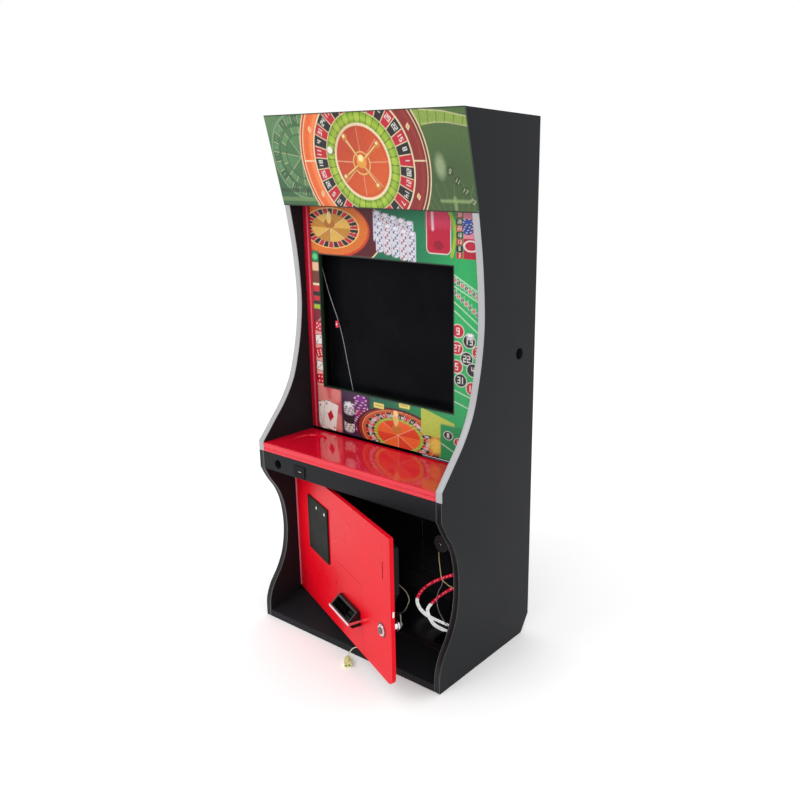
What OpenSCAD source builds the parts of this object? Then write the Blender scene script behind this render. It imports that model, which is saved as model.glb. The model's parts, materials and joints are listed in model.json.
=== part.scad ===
/* [Cabinet] */
// Width over the two side panels
cab_w = 620; // [590:5:680]
// Height of the cabinet
cab_h = 1317; // [1305:1:1330]
// Thickness of the side panels and other boards
board_t = 18; // [16:1:20]
// Thickness of the rear boards
rear_t = 12; // [9:1:14]
// Thickness of the moulding on the front edges
mold_t = 2; // [1.5:0.5:3]

/* [Front] */
// Height of the deck's top face
deck_z = 502; // [500:1:503]
// Depth of the round dish in the deck
dish_depth = 3.5; // [2:0.5:3.5]
// Width of the screen window
window_w = 445; // [400:5:450]
// Height of the screen window
window_h = 351; // [320:1:355]
// Diameter of the button hole in the apron
apron_hole_d = 24; // [22:1:28]
// Diameter of the hole in the right side panel
side_hole_d = 28; // [24:1:30]

/* [Door] */
// Angle at which the main door stands open
door_open = 21; // [0:1:60]
// Height of the main door's lower edge above the floor
door_z0 = 47.5; // [44:0.5:50]
// Height of the main door's upper edge above the floor
door_z1 = 418; // [416:1:428]

/* [Hidden] */
$fn = 48;
gap = 0.2;

// Profiles lie in the side view, as [y, z]: y grows towards the rear, z upwards.
half_w = cab_w / 2;
in_x = half_w - board_t;
fill_x = in_x - gap;
rear_y = 187;
nose_y = -177;
foot_y = -187;
split_z = 480;
apron_z0 = 432;
chamfer = [[155, 0], [rear_y, 45]];

// Curved front edge of the side panels, above and below the nose
upper_knots = [
    [-49, 1104], [-34, 1010], [-26, 920], [-25, 850], [-33, 780],
    [-47, 715], [-66, 655], [-98, 600], [-139, 550], [nose_y, deck_z + 3]
];
lower_knots = [
    [nose_y, apron_z0], [-160, 398], [-136, 360], [-121, 318], [-114, 268],
    [-115, 218], [-125, 168], [-145, 126], [-170, 90], [-184, 55], [foot_y, 25]
];

function blend4(a, b, c, d, t) =
    0.5 * (2 * b + (c - a) * t + (2 * a - 5 * b + 4 * c - d) * t * t + (3 * b - a - 3 * c + d) * t * t * t);
function smooth(p, steps) = concat(
    [for (i = [0:len(p) - 2]) for (k = [0:steps - 1])
        blend4(p[max(i - 1, 0)], p[i], p[i + 1], p[min(i + 2, len(p) - 1)], k / steps)],
    [p[len(p) - 1]]
);
function heading(p, i) =
    let (v = p[min(i + 1, len(p) - 1)] - p[max(i - 1, 0)]) v / norm(v);
function inset(p, d) =
    [for (i = [0:len(p) - 1]) let (t = heading(p, i)) p[i] + d * [-t[1], t[0]]];
function backwards(p) = [for (i = [len(p) - 1:-1:0]) p[i]];
function part_of(p, first, last) = [for (i = [first:last]) p[i]];

upper_edge = concat(smooth(upper_knots, 5), [[nose_y, split_z]]);
lower_edge = concat(smooth(lower_knots, 5), [[foot_y, 0]]);
front_edge = concat(upper_edge, lower_edge);
split_i = len(upper_edge) - 1;
last_i = len(front_edge) - 1;
edge_in = inset(front_edge, mold_t);

// Extrudes a side-view profile across the cabinet, from x0 to x1
module across(x0, x1)
    translate([x0, 0, 0]) rotate([90, 0, 90]) linear_extrude(x1 - x0) children();

// Extrudes a front-view profile, drawn as [x, z], from depth y0 to y1
module front_on(y0, y1)
    translate([0, y1, 0]) rotate([90, 0, 0]) linear_extrude(y1 - y0) children();

module block(lo, hi) translate(lo) cube(hi - lo);

module rod_x(x0, x1, y, z, r) translate([x0, y, z]) rotate([0, 90, 0]) cylinder(h = x1 - x0, r = r);
module rod_y(y0, y1, x, z, r) translate([x, y0, z]) rotate([-90, 0, 0]) cylinder(h = y1 - y0, r = r);

// Rectangle with a radius of its own at each corner: lower left, lower right, upper right, upper left
function corner(cx, cy, r, a0) = [for (k = [0:5]) [cx + r * cos(a0 + 18 * k), cy + r * sin(a0 + 18 * k)]];
module plate2d(x0, z0, x1, z1, r = [2, 2, 2, 2])
    polygon(concat(
        corner(x0 + r[0], z0 + r[0], r[0], 180), corner(x1 - r[1], z0 + r[1], r[1], 270),
        corner(x1 - r[2], z1 - r[2], r[2], 0), corner(x0 + r[3], z1 - r[3], r[3], 90)
    ));

// Tube swept along a list of points. ref is a direction that the route never follows, half_a
// the half width square to the route and ref, and half_b the half width across that.
module swept(path, half_a, half_b, ref, sides = 8) {
    n = len(path);
    rings = [for (i = [0:n - 1])
        let (
            v = path[min(i + 1, n - 1)] - path[max(i - 1, 0)],
            u = cross(v, ref) / norm(cross(v, ref)),
            w = cross(u, v) / norm(v)
        )
        for (k = [0:sides - 1])
            path[i] + u * half_a * cos(360 * k / sides) + w * half_b * sin(360 * k / sides)];
    walls = [for (i = [0:n - 2]) for (k = [0:sides - 1])
        let (a = i * sides + k, b = i * sides + (k + 1) % sides)
        [a, b, b + sides, a + sides]];
    caps = [[for (k = [sides - 1:-1:0]) k], [for (k = [0:sides - 1]) (n - 1) * sides + k]];
    polyhedron(points = rings, faces = concat(walls, caps));
}

// ---- Side panels and their mouldings ----

header_t = 5;
header_front = [upper_knots[0], [upper_knots[0][0] - 50, cab_h]];
header_rear = [for (p = header_front) p + [header_t, 0]];
slot_w = 2;
slot_depth = 9;
side_hole = [120, 771];

module side_profile()
    polygon(concat(
        [chamfer[0], chamfer[1], [rear_y, cab_h]],
        [header_rear[1] + [gap, 0], header_rear[0] + [gap, 0]],
        edge_in
    ));

module side_board(x0) {
    difference() {
        across(x0, x0 + board_t) side_profile();
        across(x0 + (board_t - slot_w) / 2, x0 + (board_t + slot_w) / 2)
            polygon(concat(inset(front_edge, mold_t - 1), backwards(inset(front_edge, mold_t + slot_depth))));
    }
}

module side_panel_left() color("#28292b") side_board(-half_w);
module side_panel_right() color("#28292b") difference() {
    side_board(in_x);
    rod_x(in_x - 1, half_w + 1, side_hole[0], side_hole[1], side_hole_d / 2);
}

// Crowned strip over the board's edge, with a barb in the board's slot
module t_molding(x0, first, last) {
    barb_w = slot_w - 2 * gap;
    outer = part_of(front_edge, first, last);
    across(x0, x0 + board_t)
        polygon(concat(outer, backwards(inset(outer, mold_t - 0.05))));
    across(x0 + (board_t - barb_w) / 2, x0 + (board_t + barb_w) / 2)
        polygon(concat(inset(outer, mold_t / 2), backwards(inset(outer, mold_t + slot_depth - 1))));
}
module silver_t_molding_left() color("#cfcdd1") t_molding(-half_w, 0, split_i);
module silver_t_molding_right() color("#cfcdd1") t_molding(in_x, 0, split_i);
module black_t_molding_left() color("#1c1c1e") t_molding(-half_w, split_i, last_i);
module black_t_molding_right() color("#1c1c1e") t_molding(in_x, split_i, last_i);

// ---- Top, rear and header ----

rear_in = rear_y - rear_t;
rear_door_x = 160;
rear_door_z = [72, 470];
hinge_gap = 2;

module top_panel() color("#242527")
    across(-fill_x, fill_x)
        polygon([
            header_rear[1] + [0.5, 0], header_rear[1] + [0.5 + board_t * 0.24, -board_t],
            [rear_y, cab_h - board_t], [rear_y, cab_h]
        ]);

module rear_panel() color("#202123") difference() {
    block([-fill_x, rear_in, rear_door_z[1]], [fill_x, rear_y, cab_h - board_t - gap]);
    for (x = [-150, 0, 150]) for (k = [0:6])
        front_on(rear_in - 1, rear_y + 1) plate2d(x - 45, 1120 + 16 * k, x + 45, 1126 + 16 * k, [3, 3, 3, 3]);
    // Finger hole for pulling cables through
    rod_y(rear_in - 1, rear_y + 1, 0, 620, 25);
}

inlet = [228, 130];
module rear_stiles() color("#202123") {
    block([-fill_x, rear_in, 46], [-rear_door_x - 1, rear_y, rear_door_z[1] - gap]);
    difference() {
        block([rear_door_x + 1, rear_in, 46], [fill_x, rear_y, rear_door_z[1] - gap]);
        block([inlet[0] - 14.2, rear_in - 1, inlet[1] - 10.2],
              [inlet[0] + 14.2, rear_y + 1, inlet[1] + 10.2]);
    }
    block([-rear_door_x, rear_in, 46], [rear_door_x, rear_y, rear_door_z[0] - 1]);
    // Keeper block for the rear lock's cam
    block([rear_door_x + 3, rear_in - 11.5, 255], [rear_door_x + 20, rear_in, 285]);
}

module rear_skirt() color("#202123")
    across(-fill_x, fill_x)
        polygon([[150.5, 0], chamfer[0], [rear_y, 45], [rear_y - 13, 45], [150.5, 12]]);

module header_panel() color("#5f8a4d")
    across(-half_w, half_w)
        polygon([header_front[0], header_front[1], header_rear[1], header_rear[0]]);

module header_lamp() color("#e8e8e2") {
    lamp_z = cab_h - board_t - gap;
    block([-260, -22, lamp_z - 22], [260, 22, lamp_z]);
    rod_x(-245, 245, 0, lamp_z - 26, 13);
    for (x = [-255, 255]) block([x - 5, -14, lamp_z - 40], [x + 5, 14, lamp_z - 21]);
}

// ---- Art panel and screen ----

art_y = -5;
art_t = 10;
art_z = [deck_z + 7, 1130];
window_x0 = -239;
window_z0 = 630;
window_mid = window_x0 + window_w / 2;
window_z1 = window_z0 + window_h;

module art_panel() color("#2f9a5c") difference() {
    block([-fill_x, art_y, art_z[0]], [fill_x, art_y + art_t, art_z[1]]);
    front_on(art_y - 1, art_y + art_t + 1)
        plate2d(window_x0, window_z0, window_x0 + window_w, window_z1, [1, 1, 1, 1]);
}

// Battens glued to the side panels, behind the art panel and under the deck
module inner_battens() color("#7a6248")
    for (s = [-1, 1]) {
        mid_x = s * (in_x - 9.2);
        block([mid_x - 9, art_y + art_t + gap, art_z[0]],
              [mid_x + 9, art_y + art_t + board_t, art_z[1] - 10]);
        block([mid_x - 9, -155, deck_z - 2 * board_t - gap], [mid_x + 9, -15, deck_z - board_t - gap]);
    }

screen_y = 32;
module monitor_screen() color("#0a0a0c")
    front_on(screen_y, screen_y + 4)
        plate2d(window_x0 - 3, window_z0 - 3, window_x0 + window_w + 3, window_z1 + 3, [3, 3, 3, 3]);

module monitor_chassis() color("#1a1a1c") difference() {
    union() {
        block([window_x0 - 14, screen_y + 1, window_z0 - 14],
              [window_x0 + window_w + 14, screen_y + 38, window_z1 + 14]);
        block([window_mid - 150, screen_y + 37, window_z0 + 60],
              [window_mid + 150, screen_y + 56, window_z1 - 60]);
    }
    block([window_x0 - 3 - gap, screen_y - 1, window_z0 - 3 - gap],
          [window_x0 + window_w + 3 + gap, screen_y + 4 + gap, window_z1 + 3 + gap]);
    for (k = [0:7])
        block([window_mid - 120 + 32 * k, screen_y + 50, window_z1 - 110],
              [window_mid - 104 + 32 * k, screen_y + 60, window_z1 - 80]);
}

module monitor_brackets() color("#8c8f93")
    for (z = [window_z0 + 60, window_z1 - 60]) {
        bracket_y = screen_y + 38 + gap;
        block([-fill_x, bracket_y, z - 15], [window_mid - 160, bracket_y + 3, z + 15]);
        block([window_mid + 160, bracket_y, z - 15], [fill_x, bracket_y + 3, z + 15]);
        block([-fill_x, bracket_y, z - 15], [-fill_x + 3, bracket_y + 40, z + 15]);
        block([fill_x - 3, bracket_y, z - 15], [fill_x, bracket_y + 40, z + 15]);
    }

// ---- Deck and apron ----

deck_front = nose_y + 5;
dish = [-219, -84];
dish_r = 45;
port = [-155, 450.5];
apron_hole = [-238, 453];

module deck_board() color("#c4142c") difference() {
    block([-fill_x, deck_front, deck_z - board_t], [fill_x, -8, deck_z]);
    translate([dish[0], dish[1], deck_z - dish_depth]) cylinder(h = 10, r1 = dish_r - 5, r2 = dish_r + 9);
}

module deck_nosing() color("#d8182f")
    across(-fill_x, fill_x)
        polygon([
            [deck_front - gap, deck_z], [nose_y + 2, deck_z], [nose_y + 0.6, deck_z - 0.6],
            [nose_y, deck_z - 2], [nose_y, deck_z - 11], [nose_y + 2, deck_z - 13],
            [nose_y + 2, deck_z - 15], [nose_y, deck_z - 17], [nose_y, split_z + gap],
            [deck_front - gap, split_z + gap]
        ]);

module apron_rail() color("#2a2a2d") difference() {
    block([-fill_x, nose_y, apron_z0], [fill_x, nose_y + board_t, split_z]);
    rod_y(nose_y - 1, nose_y + board_t + 1, apron_hole[0], apron_hole[1], apron_hole_d / 2);
    block([port[0] - 11.2, nose_y - 1, port[1] - 6.2], [port[0] + 11.2, nose_y + board_t + 1, port[1] + 6.2]);
}

module port_plate() color("#121214") difference() {
    union() {
        front_on(nose_y - 2.5, nose_y - gap)
            plate2d(port[0] - 20, port[1] - 15.5, port[0] + 20, port[1] + 15.5);
        block([port[0] - 11, nose_y - 1, port[1] - 6], [port[0] + 11, nose_y + 24, port[1] + 6]);
    }
    block([port[0] - 7, nose_y - 4, port[1] - 1.8], [port[0] + 7, nose_y + 10, port[1] + 1.8]);
}

speaker_at = [130, -108];
soffit_t = 12;
module soffit_board() color("#202123") difference() {
    block([-fill_x, nose_y + board_t + gap, apron_z0], [fill_x, -54, apron_z0 + soffit_t]);
    for (ix = [-2:2]) for (iy = [-2:2])
        translate([speaker_at[0] + 13 * ix, speaker_at[1] + 13 * iy, apron_z0 - 1])
            cylinder(h = soffit_t + 2, r = 3);
}

module speaker() color("#1d1d20") {
    speaker_z = apron_z0 + soffit_t + gap;
    translate([speaker_at[0], speaker_at[1], speaker_z]) difference() {
        union() {
            cylinder(h = 3, r = 42);
            cylinder(h = 18, r1 = 38, r2 = 20);
            cylinder(h = 34, r = 20);
        }
        translate([0, 0, -1]) cylinder(h = 15, r1 = 36, r2 = 9);
    }
}

// ---- Base ----

base_t = 16;
sill_y = [-92, -70];
sill_top = 42;

module base_board() color("#1d1e20")
    block([-fill_x, foot_y + 1, 0], [fill_x, 150, base_t]);

module kick_ramp() color("#2b2b2e") difference() {
    across(-fill_x, fill_x)
        polygon([
            [foot_y + 1, base_t + gap], [foot_y + 1, 18], [foot_y + 2, 19],
            [sill_y[0] - gap, 39.5], [sill_y[0] - gap, base_t + gap]
        ]);
    translate([lead_exit[0], lead_exit[1], base_t]) cylinder(h = 40, r = 2);
}

module door_sill() color("#2b2b2e")
    across(-fill_x, fill_x)
        polygon([
            [sill_y[0], base_t + gap], [sill_y[0], sill_top - 1], [sill_y[0] + 1, sill_top],
            [sill_y[1] - 1, sill_top], [sill_y[1], sill_top - 1], [sill_y[1], base_t + gap]
        ]);

// ---- Main door's hinge and what it closes against ----

pin = [-in_x + 2.8, -77.5];
pin_r = 1.2;
knuckle_r = 2.6;
hinge_z = [52, 414];
knuckle_h = (hinge_z[1] - hinge_z[0]) / 9;

module on_door() translate([pin[0], pin[1], 0]) rotate([0, 0, -door_open]) children();

module knuckles(first, leaf_x0, leaf_x1, leaf_y0, leaf_y1) {
    for (k = [first:2:8])
        translate([0, 0, hinge_z[0] + knuckle_h * k + 0.25]) difference() {
            union() {
                cylinder(h = knuckle_h - 0.5, r = knuckle_r);
                block([leaf_x0, leaf_y0, 0], [leaf_x1, leaf_y1, knuckle_h - 0.5]);
            }
            translate([0, 0, -1]) cylinder(h = knuckle_h + 1, r = pin_r + 0.05);
        }
    block([leaf_x0, knuckle_r + 0.6, hinge_z[0]], [leaf_x1, leaf_y1, hinge_z[1]]);
}

module wall_hinge_leaf() color("#9a9da1")
    translate([pin[0], pin[1], 0]) knuckles(0, -2.6, -1.5, 0, 28);
module door_hinge_leaf() color("#e68a97")
    on_door() knuckles(1, 1.5, 2.5, 0, door_y[1]);
module hinge_pin() color("#b8babd")
    translate([pin[0], pin[1], hinge_z[0] - 2]) cylinder(h = hinge_z[1] - hinge_z[0] + 4, r = pin_r);

module door_stop() color("#202123")
    block([in_x - 12, pin[1] + door_y[1] + 0.5, 200], [fill_x, pin[1] + door_y[1] + 15, 400]);

// The lock's cam clears this bracket while it points up, and lies behind it when turned level
module latch_keeper() color("#a3a6aa") {
    keeper_y = pin[1] + cam_y - 4;
    block([in_x - 2.2, keeper_y, lock_at[1] - 22], [fill_x, keeper_y + 36, lock_at[1] + 22]);
    block([in_x - 38, keeper_y, lock_at[1] - 13], [fill_x, keeper_y + 3, lock_at[1] + 13]);
}

clip = [160, 274];
module harness_bracket() color("#141416") difference() {
    union() {
        rod_y(2, 4, clip[0], clip[1], 23);
        block([clip[0], 2, clip[1] - 12], [fill_x, 4, clip[1] + 12]);
        block([in_x - 2.2, 2, clip[1] - 24], [fill_x, 26, clip[1] + 24]);
        rod_y(-1.5, 2, clip[0], clip[1], 4);
    }
    rod_y(-2, -0.5, clip[0], clip[1], 1.6);
}

// ---- Inside the lower bay ----

hopper_lo = [-285, -30, base_t + gap];
hopper_hi = [-145, 115, 180];
disc_at = [-215, 92];

module hopper_body() color("#3a3d42") difference() {
    block(hopper_lo, hopper_hi);
    block(hopper_lo + [3, 3, 4], hopper_hi + [-3, -3, 1]);
    rod_y(hopper_lo[1] - 1, hopper_lo[1] + 4, disc_at[0], disc_at[1], 4.3);
    block([-185, hopper_lo[1] - 1, 153], [-149, hopper_lo[1] + 4, 167]);
}

module hopper_disc() color("#c9a03a") difference() {
    union() {
        rod_y(hopper_lo[1] + 4, hopper_lo[1] + 9, disc_at[0], disc_at[1], 60);
        rod_y(hopper_lo[1] + 8, hopper_lo[1] + 18, disc_at[0], disc_at[1], 12);
        rod_y(hopper_lo[1] - 14, hopper_lo[1] + 5, disc_at[0], disc_at[1], 4);
    }
    for (k = [0:7])
        rod_y(hopper_lo[1], hopper_lo[1] + 12,
              disc_at[0] + 42 * cos(45 * k), disc_at[1] + 42 * sin(45 * k), 13);
}

module hopper_motor() color("#8c8f93") difference() {
    union() {
        rod_y(hopper_lo[1] - 20, hopper_lo[1] - gap, disc_at[0], disc_at[1], 20);
        block([disc_at[0] - 25, hopper_lo[1] - 4, disc_at[1] - 12],
              [disc_at[0] + 25, hopper_lo[1] - gap, disc_at[1] + 12]);
    }
    rod_y(hopper_lo[1] - 15, hopper_lo[1], disc_at[0], disc_at[1], 4.05);
}

module power_supply() color("#9da1a5") difference() {
    block([in_x - 52, 50, 24], [fill_x, 150, 204]);
    for (k = [0:9])
        block([in_x - 54, 62, 40 + 15 * k], [in_x - 50, 138, 45 + 15 * k]);
}

module game_board() color("#1f6b3a") {
    block([in_x - 8, 45, 222], [fill_x, 160, 420]);
    for (k = [0:3])
        block([in_x - 14, 58, 236 + 46 * k], [in_x - 7, 92, 266 + 46 * k]);
    for (k = [0:2])
        block([in_x - 20, 112, 240 + 60 * k], [in_x - 7, 148, 276 + 60 * k]);
}

module mains_inlet() color("#141416") difference() {
    union() {
        front_on(rear_y + gap, rear_y + 3)
            plate2d(inlet[0] - 25, inlet[1] - 15, inlet[0] + 25, inlet[1] + 15, [3, 3, 3, 3]);
        block([inlet[0] - 14, rear_y - 24, inlet[1] - 10], [inlet[0] + 14, rear_y + 1, inlet[1] + 10]);
    }
    block([inlet[0] - 11.5, rear_y - 14, inlet[1] - 7.5], [inlet[0] + 11.5, rear_y + 5, inlet[1] + 7.5]);
}

// Shallow tray under the coin acceptor's chute
coin_box_lo = [in_x - 104, -62, base_t + gap];
coin_box_hi = [fill_x - 1, -20, 44];
module coin_box() color("#202224") difference() {
    block(coin_box_lo, coin_box_hi);
    block(coin_box_lo + [1.5, 1.5, 1.5], coin_box_hi + [-1.5, -1.5, 1]);
}

// ---- Leads. Their points are [x, y, z], set by hand. ----

strip_outer_route = [
    [291, 30, 212], [240, 28, 204], [183, 26, 184], [128, 26, 152], [87, 28, 120], [59, 32, 87],
    [47, 36, 64], [47, 39, 47], [57, 42, 31], [84, 44, 19.5], [140, 42, 17.5], [238, 38, 17.5]
];
strip_inner_route = [
    [291, 18, 172], [240, 18, 168], [189, 18, 151], [147, 18, 118], [117, 18, 86], [101, 18, 64],
    [101, 17, 50], [111, 16, 35], [128, 16, 22], [180, 16, 17.5], [238, 16, 17.5]
];
yellow_route = [
    [150, 5, 248], [151, 5, 227], [153, 6, 204], [157, 8, 173], [172, 8, 163], [195, 8, 158], [291, 8, 150]
];
grey_route = [
    [162, 5, 170], [159, 5, 155], [148, 5, 134], [142, 5, 107], [148, 5, 80], [161, 5, 60],
    [179, 5, 44], [200, 6, 26], [238, 8, 17.5]
];
hopper_route = [
    [-143.8, 30, 96], [-100, 24, 112], [-50, 10, 122], [0, 0, 118], [40, -6, 108], [54, -8, 96],
    [57, -8, 84], [52, -8, 70], [40, -4, 50], [20, 0, 30], [-20, 4, 19], [-143.8, 10, 18]
];
monitor_route = [
    [-270, 18, 992], [-252, 18, 940], [-234, 18, 887], [-216, 18, 845], [-201, 18, 811], [-185, 18, 762],
    [-170, 18, 696], [-154, 18, 627], [-148, 18, 590], [-150, 18, 540]
];
lead_exit = [60, -125, 32];
loose_route = [
    [60, -125, 29], [60, -125, 33], [60, -127, 37], [60, -132, 38], [60, -138, 35], [59, -146, 30.5],
    [57, -156, 28], [53, -166, 26], [47, -175, 24], [39, -182, 23], [31, -187, 21.5], [25, -190, 17],
    [21, -193, 11], [19, -196, 6], [20, -200, 4], [23, -204, 4], [27, -208, 4]
];

module led_strip_outer() color("#b02436") swept(smooth(strip_outer_route, 2), 1, 4, [0, 1, 0]);
module led_strip_inner() color("#b02436") swept(smooth(strip_inner_route, 2), 1, 4, [0, 1, 0]);
module yellow_lead() color("#d9cf8e") swept(smooth(yellow_route, 2), 1, 1, [0, 1, 0]);
module grey_leads() color("#85868a") {
    swept(smooth(grey_route, 2), 1, 1, [0, 1, 0]);
    swept(smooth(hopper_route, 2), 1.5, 1.5, [0, 1, 0]);
}
module monitor_lead() color("#77787c") {
    swept(smooth(monitor_route, 2), 1.2, 1.2, [0, 1, 0]);
    // Crimped splice on the lead
    block([-205, 11, 791], [-197, 16.6, 809]);
}
module loose_lead() color("#d8d2c0") swept(smooth(loose_route, 2), 1.2, 1.2, [1, 0, 0.3]);

module loose_connector() color("#d8e29a")
    translate([27, -208, 0.1]) rotate([0, 0, -45]) difference() {
        union() {
            block([0.2, -6, 0], [16, 6, 8]);
            block([15, -9, 0], [40, 9, 10]);
            block([12, -3, 7], [30, 3, 13]);
        }
        for (s = [-1, 1]) block([30, s * 4 - 3, 2], [41, s * 4 + 3, 8]);
    }

// ---- Main door. Drawn closed, from the hinge pin: [x along the door, y inwards, z up]. ----

door_x = [2.7, 576];
door_y = [1, 11];
sheet = 1.6;
lock_at = [528, 172];
cam_y = 44;
cam_reach = 30;
coin_slot = [539, 305];
slot_h = 44;
cup_x = [297, 408];
cup_z = 161;
payout_x = [262, 421];
payout_z = [door_z0 + sheet, 236.5];
plate_x = [88, 225];
plate_z = [206, 359];
plate_screws = [[159, 343], [212, 343]];

module door_panel() color("#e3203a") on_door() difference() {
    front_on(door_y[0], door_y[1])
        plate2d(door_x[0], door_z0, door_x[1], door_z1, [2, 22, 4, 2]);
    front_on(door_y[0] + sheet, door_y[1] + 1)
        plate2d(door_x[0] + sheet, door_z0 + sheet, door_x[1] - sheet, door_z1 - sheet, [2, 20.4, 3, 2]);
    front_on(door_y[0] - 1, door_y[0] + sheet + 1)
        plate2d(payout_x[0], payout_z[0], payout_x[1], payout_z[1]);
    front_on(door_y[0] - 1, door_y[0] + sheet + 1) 
        plate2d(plate_x[0] + 10, plate_z[0] + 12, plate_x[1] - 10, plate_z[1] - 30, [3, 3, 3, 3]);
    block([coin_slot[0] - 1.75, 0, coin_slot[1]], [coin_slot[0] + 1.75, 4, coin_slot[1] + slot_h]);
    rod_y(0, 4, lock_at[0], lock_at[1], 9.7);
    for (p = plate_screws) rod_y(0, 4, p[0], p[1], 2.1);
}

module blanking_plate() color("#1b1d1c") on_door() difference() {
    union() {
        front_on(-2, door_y[0] - gap) plate2d(plate_x[0], plate_z[0], plate_x[1], plate_z[1], [3, 6, 3, 3]);
        front_on(-3, -1.9)
            plate2d(plate_x[0] + 3, plate_z[0] + 3, plate_x[1] - 3, plate_z[1] - 3, [3, 5, 3, 3]);
    }
    for (p = plate_screws) rod_y(-5, 2, p[0], p[1], 2.1);
}

module door_screws() color("#d7d8da") on_door()
    for (p = plate_screws) {
        rod_y(-5.2, -3 - gap, p[0], p[1], 4);
        rod_y(-3.5, 8, p[0], p[1], 2);
    }

module payout_panel() color("#e3203a") on_door() difference() {
    union() {
        front_on(door_y[0], door_y[0] + 1.8)
            plate2d(payout_x[0] + 0.8, payout_z[0] + 0.5, payout_x[1] - 0.8, payout_z[1] - 0.8);
        front_on(door_y[0] + 1.8, door_y[0] + 3.3)
            plate2d(payout_x[0] - 8, payout_z[0] + 1, payout_x[1] + 8, payout_z[1] + 8);
    }
    front_on(0, 6) plate2d(cup_x[0] + 6, cup_z - 34, cup_x[1] - 6, cup_z - 8, [3, 3, 3, 3]);
}

flap_axis = [-4, cup_z - 5.5];
// Its profiles are drawn down from the cup's upper edge
module coin_cup() color("#0e0e10") on_door() translate([0, 0, cup_z]) difference() {
    across(cup_x[0], cup_x[1])
        polygon([[0.8, 0], [-8, 0], [-31, -21], [-31, -27], [-22, -39], [0.8, -39]]);
    across(cup_x[0] + 3, cup_x[1] - 3)
        polygon([[2, -3], [-7, -3], [-28, -22], [-28, -26], [-20.5, -36], [2, -36]]);
    across(cup_x[0] + 5, cup_x[1] - 5)
        polygon([[-9.5, -8], [-25.5, -22], [-36, -16], [-14, 5]]);
    rod_x(cup_x[0] + 1, cup_x[1] - 1, flap_axis[0], flap_axis[1] - cup_z, 1.25);
}

module cup_rim() color("#e6e6ea") on_door() translate([0, 0, cup_z]) {
    block([cup_x[0] - 3.5, -34, -28], [cup_x[1] + 3.5, -31 - gap, -21]);
    for (x = [cup_x[0] - 3.5, cup_x[1] + gap])
        block([x, -32, -28], [x + 3.3, 0.8, -21]);
}

module cup_flap() color("#26262a") on_door() {
    rod_x(cup_x[0] + 1.2, cup_x[1] - 1.2, flap_axis[0], flap_axis[1], 1.2);
    block([cup_x[0] + 5, flap_axis[0] - 0.75, cup_z - 32], [cup_x[1] - 5, flap_axis[0] + 0.75, flap_axis[1]]);
}

// Chute that drops accepted coins into the coin box: its outer walls and its channel
chute_y = [26, 34];
chute_walls = [[515, 271], [549, 271], [549, 262], [515, 205], [515, 156], [491, 156], [491, 215]];
chute_way = [[518, 300], [546, 300], [546, 262], [512, 206], [512, 150], [494, 150], [494, 213], [518, 254]];

module coin_acceptor() color("#202224") on_door() difference() {
    union() {
        block([coin_slot[0] - 27, door_y[0] + sheet + gap, 270], [coin_slot[0] + 23, 30, 385]);
        front_on(chute_y[0], chute_y[1]) polygon(chute_walls);
    }
    block([coin_slot[0] - 1.75, 0, coin_slot[1]],
          [coin_slot[0] + 1.75, chute_y[0] + 1, coin_slot[1] + slot_h]);
    front_on(chute_y[0] + 1.5, chute_y[1] - 1.5) polygon(chute_way);
}

module lock_body() color("#c9cacd") on_door() difference() {
    union() {
        rod_y(-1.4, door_y[0] - gap, lock_at[0], lock_at[1], 14.5);
        rod_y(-4, -1.3, lock_at[0], lock_at[1], 12.5);
        rod_y(-2, cam_y - 2.7, lock_at[0], lock_at[1], 9.5);
        front_on(door_y[0] + sheet + gap, 8) translate(lock_at) circle(r = 15, $fn = 6);
        rod_y(cam_y - 6, cam_y - 2.7, lock_at[0], lock_at[1], 12.8);
    }
    rod_y(-6, cam_y, lock_at[0], lock_at[1], 6.05);
}

// Cam that points up, and turns level towards the door's free edge
module lock_cam() color("#d2d3d6") on_door() difference() {
    union() {
        rod_y(-5, cam_y + 1, lock_at[0], lock_at[1], 6);
        rod_y(-6, -4.3, lock_at[0], lock_at[1], 8.5);
        front_on(cam_y - 2.4, cam_y + 0.5) translate(lock_at) circle(r = 6, $fn = 6);
        front_on(cam_y, cam_y + 3)
            plate2d(lock_at[0] - 8, lock_at[1] - 8, lock_at[0] + 8, lock_at[1] + cam_reach, [6, 6, 6, 6]);
        front_on(cam_y + 2.9, cam_y + 7) translate(lock_at) circle(r = 6.5, $fn = 6);
    }
    block([lock_at[0] - 0.8, -7, lock_at[1] - 4.5], [lock_at[0] + 0.8, 6, lock_at[1] + 4.5]);
}

// ---- Rear door ----

rear_pin = [-rear_door_x - 1, rear_y + 2.6];
rear_lock = [135, 270];
rear_hinge_z = [130, 370];
rear_knuckle = 13;

// One knuckle on the rear hinge's axis, with its leaf reaching to x1
module rear_knuckle_and_leaf(z0, z1, x1) {
    translate([rear_pin[0], rear_pin[1], z0]) cylinder(h = z1 - z0, r = 2.4);
    block([min(rear_pin[0], x1), rear_y + gap, z0], [max(rear_pin[0], x1), rear_y + 1.6, z1]);
}

module rear_hinges() color("#9a9da1")
    for (z = rear_hinge_z) {
        difference() {
            union() {
                rear_knuckle_and_leaf(z, z + rear_knuckle, rear_pin[0] - 30);
                rear_knuckle_and_leaf(z + 2 * rear_knuckle + 1, z + 3 * rear_knuckle + 1, rear_pin[0] - 30);
                block([rear_pin[0] - 30, rear_y + gap, z],
                      [rear_pin[0] - 4, rear_y + 1.6, z + 3 * rear_knuckle + 1]);
            }
            translate([rear_pin[0], rear_pin[1], z - 1]) cylinder(h = 50, r = pin_r + 0.05);
        }
        translate([rear_pin[0], rear_pin[1], z - 1]) cylinder(h = 3 * rear_knuckle + 3, r = pin_r);
    }

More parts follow.
